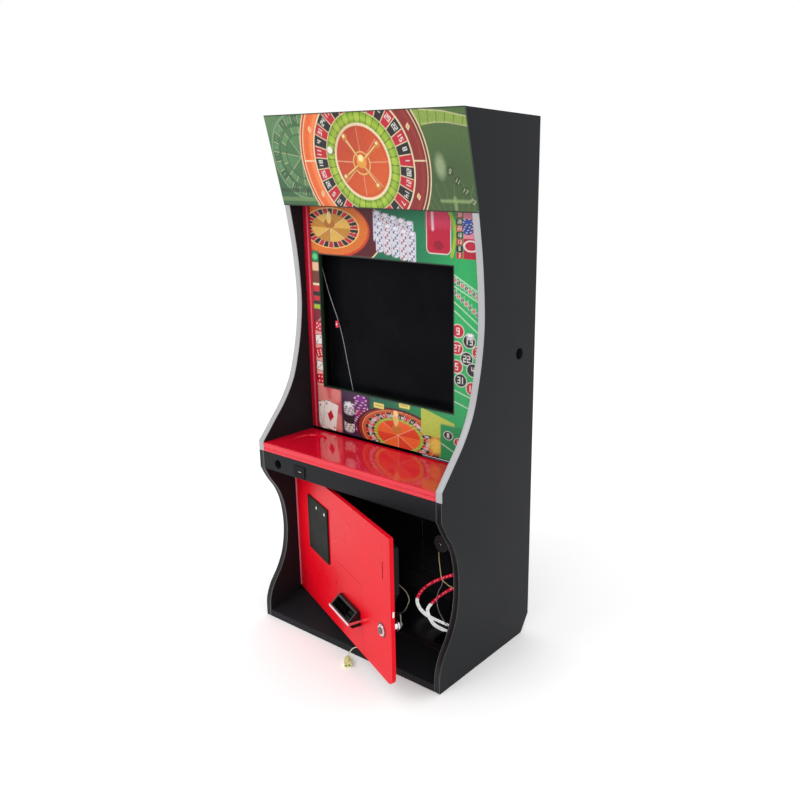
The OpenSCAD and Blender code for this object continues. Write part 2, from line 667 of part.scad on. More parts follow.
module rear_door() color("#202123") difference() {
    union() {
        block([-rear_door_x + 1, rear_in, rear_door_z[0] + 1], [rear_door_x - 1, rear_y, rear_door_z[1] - 1]);
        for (z = rear_hinge_z) {
            z0 = z + rear_knuckle + 0.5;
            rear_knuckle_and_leaf(z0, z0 + rear_knuckle, rear_pin[0] + 30);
            block([rear_pin[0] + 4, rear_y - 1, z0], [rear_pin[0] + 30, rear_y + 1, z0 + rear_knuckle]);
        }
    }
    for (z = rear_hinge_z) translate([rear_pin[0], rear_pin[1], z - 1]) cylinder(h = 50, r = pin_r + 0.05);
    for (k = [0:5])
        front_on(rear_in - 1, rear_y + 1) plate2d(-60, 355 + 16 * k, 60, 361 + 16 * k, [3, 3, 3, 3]);
    rod_y(rear_in - 1, rear_y + 1, rear_lock[0], rear_lock[1], 9.7);
}

module rear_lock_body() color("#c9cacd") difference() {
    union() {
        rod_y(rear_y + gap, rear_y + 3, rear_lock[0], rear_lock[1], 13);
        rod_y(rear_in - 12, rear_y + 1, rear_lock[0], rear_lock[1], 9.5);
        front_on(rear_in - 6, rear_in - gap) translate(rear_lock) circle(r = 15, $fn = 6);
    }
    rod_y(rear_in - 14, rear_y + 5, rear_lock[0], rear_lock[1], 6.05);
}

module rear_lock_cam() color("#d2d3d6") difference() {
    union() {
        rod_y(rear_in - 13, rear_y + 4, rear_lock[0], rear_lock[1], 6);
        front_on(rear_in - 16, rear_in - 12.5)
            plate2d(rear_lock[0] - 8, rear_lock[1] - 9, rear_lock[0] + 8, rear_lock[1] + 40, [7, 7, 7, 7]);
    }
    block([rear_lock[0] - 0.8, rear_y - 2, rear_lock[1] - 4.5],
          [rear_lock[0] + 0.8, rear_y + 6, rear_lock[1] + 4.5]);
}

side_panel_left();
side_panel_right();
silver_t_molding_left();
silver_t_molding_right();
black_t_molding_left();
black_t_molding_right();
top_panel();
rear_panel();
rear_stiles();
rear_skirt();
header_panel();
header_lamp();
art_panel();
inner_battens();
monitor_chassis();
monitor_screen();
monitor_brackets();
deck_board();
deck_nosing();
apron_rail();
port_plate();
soffit_board();
speaker();
base_board();
kick_ramp();
door_sill();
wall_hinge_leaf();
hinge_pin();
door_stop();
latch_keeper();
harness_bracket();
hopper_body();
hopper_disc();
hopper_motor();
power_supply();
game_board();
mains_inlet();
coin_box();
led_strip_outer();
led_strip_inner();
yellow_lead();
grey_leads();
monitor_lead();
loose_lead();
loose_connector();
door_panel();
door_hinge_leaf();
blanking_plate();
door_screws();
payout_panel();
coin_cup();
cup_rim();
cup_flap();
coin_acceptor();
lock_body();
lock_cam();
rear_hinges();
rear_door();
rear_lock_body();
rear_lock_cam();
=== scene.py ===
import json
import math

import bmesh
import bpy
import numpy as np
from mathutils import Matrix, Vector


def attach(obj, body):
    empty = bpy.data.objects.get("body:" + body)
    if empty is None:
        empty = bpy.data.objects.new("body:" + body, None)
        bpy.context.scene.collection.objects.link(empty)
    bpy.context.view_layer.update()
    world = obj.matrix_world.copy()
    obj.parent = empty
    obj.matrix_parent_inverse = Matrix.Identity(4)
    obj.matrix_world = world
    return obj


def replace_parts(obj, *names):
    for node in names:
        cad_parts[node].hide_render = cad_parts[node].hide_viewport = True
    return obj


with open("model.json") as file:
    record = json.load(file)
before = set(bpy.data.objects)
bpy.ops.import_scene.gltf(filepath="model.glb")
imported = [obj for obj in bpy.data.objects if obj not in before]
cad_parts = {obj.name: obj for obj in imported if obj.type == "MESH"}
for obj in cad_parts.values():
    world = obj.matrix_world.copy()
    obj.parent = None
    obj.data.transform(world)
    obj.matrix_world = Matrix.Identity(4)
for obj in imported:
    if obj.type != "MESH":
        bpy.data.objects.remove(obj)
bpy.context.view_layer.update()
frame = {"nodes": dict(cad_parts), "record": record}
NODES = frame["nodes"]
MM = 0.001
bpy.context.scene.view_settings.view_transform = "Standard"


# ---- Helpers ----


def ink(red, green, blue):
    """A screen colour from 0 to 255 as the linear colour that shaders use."""
    return tuple(
        c / 255 / 12.92 if c <= 10 else ((c / 255 + 0.055) / 1.055) ** 2.4 for c in (red, green, blue)
    )


def shade(colour, by):
    return tuple(min(1.0, c * by) for c in colour[:3])


def add_object(name, mesh, body, material_list):
    piece = bpy.data.objects.new(name, mesh)
    bpy.context.scene.collection.objects.link(piece)
    for m in material_list:
        piece.data.materials.append(m)
    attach(piece, body)
    return piece


def smooth_by_angle(mesh, degrees):
    for face in mesh.polygons:
        face.use_smooth = True
    mesh.set_sharp_from_angle(angle=math.radians(degrees))


def even_normals(piece):
    """Makes large flat faces shade flat beside their rounded edges."""
    normals = piece.modifiers.new("even_normals", "WEIGHTED_NORMAL")
    normals.keep_sharp = True
    normals.weight = 100


def mesh_from(name, verts, faces, face_materials=None):
    mesh = bpy.data.meshes.new(name)
    mesh.from_pydata([tuple(v) for v in verts], [], faces)
    if face_materials is not None:
        mesh.polygons.foreach_set("material_index", face_materials)
    mesh.validate()
    return mesh


def mesh_of(name, bm):
    """A mesh made from bm, which is freed."""
    mesh = bpy.data.meshes.new(name)
    bm.to_mesh(mesh)
    bm.free()
    return mesh


def side_faces(first, rows, count):
    """Faces between rows of count points each, from point number first on."""
    return [
        (a, b, b + count, a + count)
        for i in range(rows - 1) for k in range(count)
        for a, b in [(first + i * count + k, first + i * count + (k + 1) % count)]
    ]


# ---- Camera ----

CAMERA_AT = (1.3682, -1.4651, 1.1690)
CAMERA_TURN = (34.93, -15.264, 0.905)  # yaw, pitch and roll in degrees
CAMERA_LENS = 36.30
CAMERA_SHIFT = (-0.1276, 0.0029)


def add_camera():
    yaw, pitch, roll = (math.radians(a) for a in CAMERA_TURN)
    ahead = Vector((-math.sin(yaw) * math.cos(pitch), math.cos(yaw) * math.cos(pitch), math.sin(pitch)))
    level = ahead.cross(Vector((0, 0, 1))).normalized()
    upright = level.cross(ahead)
    right = math.cos(roll) * level + math.sin(roll) * upright
    up = -math.sin(roll) * level + math.cos(roll) * upright
    data = bpy.data.cameras.new("camera")
    data.lens = CAMERA_LENS
    data.sensor_width = 36
    data.shift_x, data.shift_y = CAMERA_SHIFT
    camera = bpy.data.objects.new("camera", data)
    turn = Matrix((right, up, -ahead)).transposed().to_4x4()
    camera.matrix_world = Matrix.Translation(CAMERA_AT) @ turn
    bpy.context.scene.collection.objects.link(camera)
    bpy.context.scene.camera = camera


add_camera()


# ---- Materials ----


def new_material(name):
    """An empty node material and its Principled node."""
    m = bpy.data.materials.new(name)
    m.use_nodes = True
    return m, m.node_tree.nodes["Principled BSDF"]


def node(m, kind, **settings):
    n = m.node_tree.nodes.new(kind)
    for key, value in settings.items():
        setattr(n, key, value)
    return n


def put(m, n, values):
    """Sets a node's sockets, each by its name or number, to a constant or another node's output."""
    for key, value in values.items():
        if isinstance(value, bpy.types.NodeSocket):
            m.node_tree.links.new(value, n.inputs[key])
        else:
            n.inputs[key].default_value = value


def coordinates(m, stretch=(1, 1, 1), turn=(0, 0, 0)):
    place = node(m, "ShaderNodeTexCoord")
    mapping = node(m, "ShaderNodeMapping")
    put(m, mapping, {"Vector": place.outputs["Object"], "Scale": stretch, "Rotation": turn})
    return mapping.outputs["Vector"]


def noise(m, vector, scale, detail=3.0, roughness=0.55):
    n = node(m, "ShaderNodeTexNoise")
    put(m, n, {"Vector": vector, "Scale": scale, "Detail": detail, "Roughness": roughness})
    return n.outputs["Fac"]


def spread(m, value, low, high, from_low=0.3, from_high=0.7):
    n = node(m, "ShaderNodeMapRange")
    put(m, n, {"Value": value, "From Min": from_low, "From Max": from_high, "To Min": low, "To Max": high})
    return n.outputs["Result"]


def mixed(m, factor, a, b):
    """Colour a where factor is 0 and b where it is 1. Each is a colour or a node's output."""
    n = node(m, "ShaderNodeMix", data_type="RGBA")
    a, b = ((*c[:3], 1) if isinstance(c, tuple) else c for c in (a, b))
    put(m, n, {0: factor, 6: a, 7: b})
    return n.outputs[2]


def bump(m, bsdf, height, strength, distance):
    n = node(m, "ShaderNodeBump")
    put(m, n, {"Height": height, "Strength": strength, "Distance": distance})
    put(m, bsdf, {"Normal": n.outputs["Normal"]})


def finish(
    name, colour, rough, vary=0.12, patch=6, grain=900, relief=0.05, depth=0.0002, metal=0.0, coat=0.0,
    coat_rough=0.08, stretch=(1, 1, 1), rough_vary=0.08, scuff=None, gloss=0.5,
):
    """A solid finish: patchy colour, uneven gloss and a fine relief. scuff is a colour for faint wear."""
    m, bsdf = new_material(name)
    vector = coordinates(m, stretch)
    patches = noise(m, vector, patch, 4)
    fine = noise(m, vector, grain, 2)
    tone = mixed(m, spread(m, patches, 0, 1), shade(colour, 1 - vary), shade(colour, 1 + vary))
    if scuff:
        marks = spread(m, noise(m, vector, patch * 7, 8, 0.7), 0, 0.5, 0.62, 0.8)
        tone = mixed(m, marks, tone, scuff)
    put(m, bsdf, {
        "Base Color": tone, "Roughness": spread(m, patches, rough - rough_vary, rough + rough_vary),
        "Metallic": metal, "Specular IOR Level": gloss, "Coat Weight": coat, "Coat Roughness": coat_rough,
    })
    bump(m, bsdf, fine, relief, depth)
    return m


def shine(m, colour, strength):
    bsdf = m.node_tree.nodes["Principled BSDF"]
    put(m, bsdf, {"Emission Color": (*colour, 1), "Emission Strength": strength})


def printed_film(name):
    """Printed film under gloss. Its colours are painted at the sheet's own points."""
    m, bsdf = new_material(name)
    vector = coordinates(m)
    colours = node(m, "ShaderNodeAttribute", attribute_name="ink")
    mottle = spread(m, noise(m, vector, 260, 2), 0.12, 0.28)
    put(m, bsdf, {
        "Base Color": mixed(m, mottle, colours.outputs["Color"], (0.0, 0.0, 0.0)),
        "Roughness": spread(m, noise(m, vector, 9), 0.24, 0.36),
        "Specular IOR Level": 0.3, "Coat Weight": 0.06,
    })
    bump(m, bsdf, noise(m, vector, 500, 2), 0.04, 0.0002)
    return m


def wood(name, pale, dark):
    m, bsdf = new_material(name)
    vector = coordinates(m, (1, 1, 0.12))
    wave = node(m, "ShaderNodeTexWave", wave_type="RINGS")
    put(m, wave, {"Vector": vector, "Scale": 60, "Distortion": 5, "Detail": 3})
    put(m, bsdf, {"Base Color": mixed(m, wave.outputs["Fac"], pale, dark), "Roughness": 0.7})
    bump(m, bsdf, wave.outputs["Fac"], 0.15, 0.0004)
    return m


def circuit(name):
    m, bsdf = new_material(name)
    bricks = node(m, "ShaderNodeTexBrick", offset=0.5)
    put(m, bricks, {
        "Vector": coordinates(m, turn=(0, math.pi / 2, 0)), "Scale": 180, "Mortar Size": 0.03,
        "Color1": (*ink(18, 92, 44), 1), "Color2": (*ink(14, 78, 38), 1), "Mortar": (*ink(60, 140, 80), 1),
    })
    put(m, bsdf, {"Base Color": bricks.outputs["Color"], "Roughness": 0.35})
    return m


def screen_glass(name):
    m, bsdf = new_material(name)
    vector = coordinates(m)
    smudge = noise(m, vector, 7, 6, 0.65)
    tone = mixed(m, spread(m, smudge, 0, 1), (0.003, 0.003, 0.004), (0.006, 0.0065, 0.008))
    rough = spread(m, smudge, 0.16, 0.34)
    put(m, bsdf, {"Base Color": tone, "Roughness": rough, "Specular IOR Level": 0.02})
    return m


def clear_nylon(name):
    m, bsdf = new_material(name)
    vector = coordinates(m)
    put(m, bsdf, {
        "Base Color": mixed(m, noise(m, vector, 90), ink(214, 222, 140), ink(236, 240, 190)),
        "Roughness": 0.3, "Subsurface Weight": 0.4, "Subsurface Radius": (0.004, 0.004, 0.002),
    })
    bump(m, bsdf, noise(m, vector, 400), 0.1, 0.0003)
    return m


SILVER = dict(metal=1.0, vary=0.06, grain=500, relief=0.03)
LOOKS = {
    "black_laminate": finish(
        "laminate", ink(29, 30, 33), 0.42, vary=0.10, patch=3, grain=1400, relief=0.14, depth=0.0003,
        scuff=ink(44, 44, 45), gloss=0.10,
    ),
    "silver_molding": finish(
        "silver_trim", ink(164, 164, 167), 0.34, vary=0.05, patch=14, grain=300, relief=0.04,
    ),
    "black_molding": finish(
        "black_trim", ink(26, 27, 29), 0.32, patch=10, grain=500, relief=0.05, gloss=0.25,
    ),
    "printed_board": finish("board_edge", ink(28, 52, 34), 0.5, grain=700, relief=0.1),
    "lamp_white": finish("lamp", ink(226, 226, 218), 0.4, vary=0.05),
    "raw_wood": wood("softwood", ink(196, 160, 112), ink(150, 112, 70)),
    "black_plastic": finish("moulded_black", ink(18, 18, 20), 0.45, grain=1500, relief=0.2, gloss=0.1),
    "screen_glass": screen_glass("dark_screen"),
    "zinc_steel": finish("zinc", ink(150, 152, 156), 0.34, stretch=(1, 1, 8), **SILVER),
    "deck_red": finish(
        "deck_film", ink(218, 8, 40), 0.10, vary=0.07, patch=5, grain=35, relief=0.05, depth=0.0006, coat=0.3,
        coat_rough=0.05, rough_vary=0.03, gloss=0.4,
    ),
    "black_steel": finish("black_powder", ink(26, 28, 24), 0.4, grain=1600, relief=0.25, gloss=0.05),
    "grey_metal": finish("grey_powder", ink(120, 122, 126), 0.45, grain=1600, relief=0.2),
    "disc_brass": finish("brass", ink(205, 165, 80), 0.28, stretch=(6, 1, 6), **SILVER),
    "circuit_board": circuit("solder_mask"),
    "red_strip": finish("strip_red", ink(190, 20, 48), 0.3, patch=60, coat=0.4),
    "yellow_lead": finish("yellow_insulation", ink(226, 214, 150), 0.4, patch=40),
    "grey_lead": finish("grey_insulation", ink(150, 150, 152), 0.45, patch=40),
    "pale_lead": finish("pale_insulation", ink(222, 214, 190), 0.45, patch=40),
    "clear_connector": clear_nylon("clear_nylon"),
    "door_red": finish(
        "red_paint", ink(220, 8, 30), 0.3, vary=0.05, patch=4, grain=700, relief=0.015, coat=0.03,
        coat_rough=0.1, rough_vary=0.05, gloss=0.08,
    ),
    "chrome": finish("chrome", ink(226, 226, 230), 0.12, rough_vary=0.05, **SILVER),
    "gloss_black": finish(
        "gloss_black", ink(12, 12, 14), 0.10, patch=12, grain=60, relief=0.03, coat=0.1, rough_vary=0.04,
        gloss=0.35,
    ),
}
FILM = printed_film("printed_film")

for part in frame["record"]["subparts"]:
    cad = NODES[part["node"]]
    cad.data.materials.clear()
    cad.data.materials.append(LOOKS[part["material_slot"]])
NODES["harness_bracket"].data.materials[0] = finish("bracket_coat", ink(66, 67, 70), 0.3, relief=0.1)
NODES["lock_cam"].data.materials[0] = finish("cam_zinc", ink(120, 116, 108), 0.32, **SILVER)
NODES["door_hinge_leaf"].data.materials[0] = NODES["wall_hinge_leaf"].data.materials[0] = finish(
    "hinge_paint", ink(222, 84, 104), 0.35, vary=0.08, patch=30, grain=300, coat=0.2
)
BODY_OF = {n: b for b, members in frame["record"]["behaviour"]["bodies"].items() for n in members}


# ---- The loose lead ----

LOOSE_ROUTE = [
    (60, -125, 29), (60, -125, 33), (60, -127, 37), (60, -132, 38), (60, -138, 35), (59, -146, 30.5),
    (57, -156, 28), (53, -166, 26), (47, -175, 24), (39, -182, 23), (31, -187, 21.5), (25, -190, 17),
    (21, -193, 11), (19, -196, 6), (20, -200, 4), (23, -204, 4), (27, -208, 4),
]


LEAD_STEPS = 4


def curve_through(points, steps):
    """Points along a smooth curve through the given ones."""
    points = [Vector(p) for p in points]
    out = []
    for i in range(len(points) - 1):
        a, b = points[max(i - 1, 0)], points[i]
        c, d = points[i + 1], points[min(i + 2, len(points) - 1)]
        for k in range(steps):
            t = k / steps
            bend, twist = 2 * a - 5 * b + 4 * c - d, 3 * b - a - 3 * c + d
            out.append(0.5 * (2 * b + (c - a) * t + bend * t * t + twist * t**3))
    return out + [points[-1]]


def lead(name, route, radius, body, slot):
    """A round lead of one open spline along route, in millimetres."""
    data = bpy.data.curves.new(name, "CURVE")
    data.dimensions = "3D"
    data.bevel_depth = radius * MM
    data.bevel_resolution = 4
    data.use_fill_caps = True
    points = curve_through(route, LEAD_STEPS)
    spline = data.splines.new("POLY")
    spline.points.add(len(points) - 1)
    for point, place in zip(spline.points, points):
        point.co = (*(place * MM), 1)
    return add_object(name, data, body, [LOOKS[slot]])


loose_lead = lead("loose_lead_wire", LOOSE_ROUTE, 1.2, "cabinet", "pale_lead")
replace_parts(loose_lead, "loose_lead")


# ---- Leads and strip lights in the bay ----

STRIP_OUTER_ROUTE = [
    (291, 30, 212), (240, 28, 204), (183, 26, 184), (128, 26, 152), (87, 28, 120), (59, 32, 87),
    (47, 36, 64), (47, 39, 47), (57, 42, 31), (84, 44, 19.5), (140, 42, 17.5), (238, 38, 17.5),
]
STRIP_INNER_ROUTE = [
    (291, 18, 172), (240, 18, 168), (189, 18, 151), (147, 18, 118), (117, 18, 86), (101, 18, 64),
    (101, 17, 50), (111, 16, 35), (128, 16, 22), (180, 16, 17.5), (238, 16, 17.5),
]
YELLOW_ROUTE = [
    (150, 5, 248), (151, 5, 227), (153, 6, 204), (157, 8, 173), (172, 8, 163), (195, 8, 158), (291, 8, 150),
]
GREY_ROUTE = [
    (162, 5, 170), (159, 5, 155), (148, 5, 134), (142, 5, 107), (148, 5, 80), (161, 5, 60), (179, 5, 44),
    (200, 6, 26), (238, 8, 17.5),
]
HOPPER_ROUTE = [
    (-143.8, 30, 96), (-100, 24, 112), (-50, 10, 122), (0, 0, 118), (40, -6, 108), (54, -8, 96),
    (57, -8, 84), (52, -8, 70), (40, -4, 50), (20, 0, 30), (-20, 4, 19), (-143.8, 10, 18),
]
MONITOR_ROUTE = [
    (-270, 18, 992), (-252, 18, 940), (-234, 18, 887), (-216, 18, 845), (-201, 18, 811), (-185, 18, 762),
    (-170, 18, 696), (-154, 18, 627), (-148, 18, 590), (-150, 18, 540),
]
RIBBON_WIDTH = 9
RIBBON_THICK = 1.1
LIGHT_PITCH = 17
CORNERS = ((-1, -1), (1, -1), (1, 1), (-1, 1))


def strip_light(name, route, node_name, red_share):
    """A flat strip tilted towards the front, red first and then white, with its lights in a row."""
    points = curve_through(route, 5)
    lengths = [0.0]
    for a, b in zip(points, points[1:]):
        lengths.append(lengths[-1] + (b - a).length)
    verts, frames = [], []
    for i, p in enumerate(points):
        ahead = (points[min(i + 1, len(points) - 1)] - points[max(i - 1, 0)]).normalized()
        normal = ahead.cross(Vector((0, 1, 0))).normalized()
        if normal.x + normal.z < 0:
            normal = -normal
        # The ends stay flat on the wall and the base, and the middle leans
        lean = math.radians(52) * min(1, lengths[i] / 40, (lengths[-1] - lengths[i]) / 60)
        wide = Vector((0, 1, 0)) * math.cos(lean) + normal * math.sin(lean)
        thick = ahead.cross(wide).normalized()
        frames.append((p, wide, thick, ahead))
        for a, b in CORNERS:
            verts.append((p + wide * a * RIBBON_WIDTH / 2 + thick * b * RIBBON_THICK / 2) * MM)
    faces = side_faces(0, len(points), 4) + [(3, 2, 1, 0), tuple(range(len(verts) - 4, len(verts)))]
    slots = [0 if a < red_share * lengths[-1] else 1 for a in lengths[:-1] for _ in range(4)] + [0, 1]
    steps = int(lengths[-1] / LIGHT_PITCH)
    for n in range(1, steps):
        i = min(range(len(lengths)), key=lambda k: abs(lengths[k] - n * LIGHT_PITCH))
        p, wide, thick, ahead = frames[i]
        for side in (-1, 1):
            first = len(verts)
            centre = p + thick * side * (RIBBON_THICK / 2 + 0.35)
            for c in (-1, 1):
                for a, b in CORNERS:
                    verts.append((centre + wide * a * 2.2 + ahead * b * 2.4 + thick * c * 0.4) * MM)
            ends = [tuple(range(first + 3, first - 1, -1)), tuple(range(first + 4, first + 8))]
            faces += ends + side_faces(first, 2, 4)
            slots += [2 if lengths[i] < red_share * lengths[-1] else 3] * 6
    bm = bmesh.new()
    bm.from_mesh(mesh_from(name, verts, faces, slots))
    bmesh.ops.recalc_face_normals(bm, faces=bm.faces)
    mesh = mesh_of(name, bm)
    smooth_by_angle(mesh, 40)
    looks = [RED_FILM_PAINTED_GLOW, WHITE_FILM_PAINTED_GLOW, RED_LENS_PAINTED_GLOW, WHITE_LENS_PAINTED_GLOW]
    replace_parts(add_object(name, mesh, "cabinet", looks), node_name)


def glowing(name, colour, rough, strength):
    """A finish that gives off a little light of its own colour."""
    m = finish(name, colour, rough, vary=0.05, patch=60, grain=500)
    shine(m, colour, strength)
    return m


# The strip films and lens chips glow as painted light. The glow stands in for flash light falling on the
# shaded strips in the bay; the strips are not lit from within.
RED_FILM_PAINTED_GLOW = glowing("strip_red_film_painted_glow", ink(186, 22, 52), 0.3, 0.5)
WHITE_FILM_PAINTED_GLOW = glowing("strip_white_film_painted_glow", ink(232, 234, 234), 0.35, 0.55)
RED_LENS_PAINTED_GLOW = glowing("strip_red_lens_painted_glow", ink(236, 110, 120), 0.2, 0.5)
WHITE_LENS_PAINTED_GLOW = glowing("strip_white_lens_painted_glow", ink(206, 206, 200), 0.2, 0.5)
NYLON = finish("white_nylon", ink(226, 226, 222), 0.4, vary=0.04, patch=60, grain=500)
strip_light("strip_light_outer", STRIP_OUTER_ROUTE, "led_strip_outer", 0.56)
strip_light("strip_light_inner", STRIP_INNER_ROUTE, "led_strip_inner", 0.52)

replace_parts(lead("yellow_wire", YELLOW_ROUTE, 1.1, "cabinet", "yellow_lead"), "yellow_lead")
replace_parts(lead("grey_wire", GREY_ROUTE, 1.0, "cabinet", "grey_lead"), "grey_leads")
lead("hopper_wire", HOPPER_ROUTE, 1.5, "cabinet", "pale_lead")
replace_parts(lead("monitor_wire", MONITOR_ROUTE, 0.9, "cabinet", "grey_lead"), "monitor_lead")


def block(name, low, high, body, look, edge, turn=Matrix()):
    """A block with rounded edges between a low and a high corner in millimetres."""
    bm = bmesh.new()
    low, high = Vector(low), Vector(high)
    for v in bmesh.ops.create_cube(bm, size=1)["verts"]:
        v.co = Vector([(low[k] + high[k]) / 2 + v.co[k] * (high[k] - low[k]) for k in range(3)]) * MM
    bmesh.ops.bevel(bm, geom=bm.edges[:], offset=edge * MM, segments=3, profile=0.5, affect="EDGES")
    bm.transform(turn)
    mesh = mesh_of(name, bm)
    smooth_by_angle(mesh, 40)
    even_normals(add_object(name, mesh, body, [look]))


# ---- Printed panels ----
# Each panel is painted at the points of its own front face, in millimetres across and up the face.

CREAM, BLACK, WHITE = ink(240, 222, 180), ink(36, 32, 34), ink(238, 236, 228)
POCKET_RED, LIME, MAROON = ink(196, 32, 52), ink(160, 194, 52), ink(88, 18, 30)
POCKETS, FELT_LINE = [POCKET_RED, BLACK], ink(214, 240, 214)
STROKES = {
    "0": [[(0, 0), (1, 0), (1, 2), (0, 2), (0, 0)]],
    "1": [[(0.5, 0), (0.5, 2)]],
    "2": [[(0, 2), (1, 2), (1, 1), (0, 1), (0, 0), (1, 0)]],
    "3": [[(0, 2), (1, 2), (1, 0), (0, 0)], [(0.2, 1), (1, 1)]],
    "4": [[(0, 2), (0, 1), (1, 1)], [(1, 2), (1, 0)]],
    "5": [[(1, 2), (0, 2), (0, 1), (1, 1), (1, 0), (0, 0)]],
    "6": [[(1, 2), (0, 2), (0, 0), (1, 0), (1, 1), (0, 1)]],
    "7": [[(0, 2), (1, 2), (0.4, 0)]],
    "8": [[(0, 0), (1, 0), (1, 2), (0, 2), (0, 0)], [(0, 1), (1, 1)]],
    "9": [[(1, 1), (0, 1), (0, 2), (1, 2), (1, 0), (0, 0)]],
}


class Sheet:
    """Colours at the points (u, v) of a flat face."""

    def __init__(self, u, v):
        self.u, self.v = u, v
        self.colour = np.zeros((len(u), 3))

    def lay(self, distance, colour, strength=1.0, soft=1.2):
        """Paints colour, one or one a point, where distance is below zero."""
        cover = np.clip(0.5 - distance / soft, 0, 1)[:, None] * strength
        self.colour += (np.asarray(colour) - self.colour) * cover

    def disc(self, u, v, radius, squash=1.0):
        return np.hypot(self.u - u, (self.v - v) / squash) - radius

    def discs(self, *rows):
        """Lays discs in turn. A row is (what disc takes), the colour and perhaps strength and softness."""
        for place, *how in rows:
            self.lay(self.disc(*place), *how)

    def box(self, u0, v0, u1, v1, corner=0.0):
        du = np.abs(self.u - (u0 + u1) / 2) - (u1 - u0) / 2 + corner
        dv = np.abs(self.v - (v0 + v1) / 2) - (v1 - v0) / 2 + corner
        return np.hypot(np.maximum(du, 0), np.maximum(dv, 0)) + np.minimum(np.maximum(du, dv), 0) - corner

    def above(self, a, b):
        """Distance to the line from a to b, below zero on its left side."""
        length = math.dist(a, b)
        return ((self.u - a[0]) * (b[1] - a[1]) - (self.v - a[1]) * (b[0] - a[0])) / length

    def stroke(self, points, width, colour, strength=1.0, soft=1.2):
        """A line of the given width through the points."""
        for a, b in zip(points, points[1:]):
            reach = width + soft
            near = np.nonzero(
                (self.u > min(a[0], b[0]) - reach) & (self.u < max(a[0], b[0]) + reach)
                & (self.v > min(a[1], b[1]) - reach) & (self.v < max(a[1], b[1]) + reach)
            )[0]
            u, v = self.u[near] - a[0], self.v[near] - a[1]
            du, dv = b[0] - a[0], b[1] - a[1]
            along = np.clip((u * du + v * dv) / (du * du + dv * dv), 0, 1)
            distance = np.hypot(u - along * du, v - along * dv) - width / 2
            cover = np.clip(0.5 - distance / soft, 0, 1)[:, None] * strength
            self.colour[near] += (np.asarray(colour) - self.colour[near]) * cover

    def number(self, text, u, v, height, turn, colour, width=1.6, squash=1.0):
        """A number in plain strokes about its middle, turned by turn degrees."""
        unit, c, s = height / 2, math.cos(math.radians(turn)), math.sin(math.radians(turn))
        for k, digit in enumerate(text):
            offset = (k - (len(text) - 1) / 2) * 1.6 - 0.5
            for line in STROKES[digit]:
                local = [((a + offset) * unit, (b - 1) * unit) for a, b in line]
                places = [(u + a * c - b * s, v + (a * s + b * c) * squash) for a, b in local]
                self.stroke(places, width, colour, soft=1.0)

    def wheel(self, u, v, rings, squash=1.0, strength=1.0, turn=0.0):
        """Rings about (u, v): (inner, outer, colours, count of sectors, width of the line between two)."""
        radius = np.hypot(self.u - u, (self.v - v) / squash)
        angle = np.degrees(np.arctan2((self.v - v) / squash, self.u - u)) + turn
        for inner, outer, colours, count, divider in rings:
            distance = np.maximum(inner - radius, radius - outer)
            place = (angle % 360) / 360 * count
            index = np.floor(place).astype(int) % len(colours)
            self.lay(distance, np.asarray(colours)[index], strength)
            if divider:
                gap = np.minimum(place % 1, 1 - place % 1) * (2 * math.pi / count) * radius - divider / 2
                self.lay(np.maximum(distance, gap), CREAM, strength)

    def numbers_round(self, u, v, radius, count, height, colour, squash=1.0, turn=0.0, width=1.6):
        for k in range(count):
            angle = (k + 0.5) * 360 / count - turn
            a, b = radius * math.cos(math.radians(angle)), radius * math.sin(math.radians(angle)) * squash
            text = str(k * 7 % count + 1)
            self.number(text, u + a, v + b, height, angle - 90, colour, width, squash)

    def chips(self, u, v, half_width, half_height, count, step, colour, spots):
        """A stack of chips, drawn from its lowest."""
        squash = half_height / half_width
        for k in range(count):
            top = v + k * step
            self.lay(self.disc(u, top - step * 0.5, half_width, squash), shade(colour, 0.55))
            self.lay(self.disc(u, top, half_width, squash), colour)
            angle = np.degrees(np.arctan2((self.v - top) / squash, self.u - u)) + 40 * k
            outer, inner = (self.disc(u, top, half_width * part, squash) for part in (0.97, 0.72))
            rim = np.maximum(outer, -inner)
            self.lay(np.where(angle % 60 < 26, rim, 9), spots)
        self.lay(self.disc(u, v + (count - 1) * step, half_width * 0.5, squash), shade(colour, 1.15))

    def column(self, u, v, half_width, half_height, count, step, colour, spots):
        """A tall stack of chips seen from the side, with its top chip whole."""
        top = v + (count - 1) * step
        across = np.abs(self.u - u) - half_width
        for k in range(count):
            middle = v + k * step
            curve = middle - half_height * np.sqrt(np.clip(1 - ((self.u - u) / half_width) ** 2, 0, 1))
            slab = np.maximum(across, np.maximum(curve - self.v, self.v - curve - step))
            self.lay(slab, colour)
            self.lay(np.maximum(slab, np.abs(self.u - u - 6 * ((k % 3) - 1)) - 2.2), spots)
            self.lay(np.maximum(across, np.abs(self.v - curve) - 0.6), shade(colour, 0.35), 0.8)
        self.chips(u, top, half_width, half_height, 1, 0, colour, spots)

    def turned(self, u, v, turn):
        """The points' places about (u, v), in axes turned by turn degrees."""
        c, s = math.cos(math.radians(turn)), math.sin(math.radians(turn))
        return (self.u - u) * c + (self.v - v) * s, (self.v - v) * c - (self.u - u) * s

    def card(self, u, v, half_width, height, turn, pip):
        """A playing card standing on (u, v), with a plain diamond on it."""
        a, b = self.turned(u, v, turn)
        b = b - height / 2
        edge = np.maximum(np.abs(a) - half_width, np.abs(b) - height / 2)
        self.lay(edge - 1, ink(150, 60, 70))
        self.lay(edge, ink(246, 240, 232))
        self.lay(np.abs(a) + np.abs(b) * 0.7 - 12, pip)
        for side in (-1, 1):
            corner = np.abs(a + side * (half_width - 6)) + np.abs(b - side * (height / 2 - 9)) * 0.7 - 3.2
            self.lay(corner, pip)

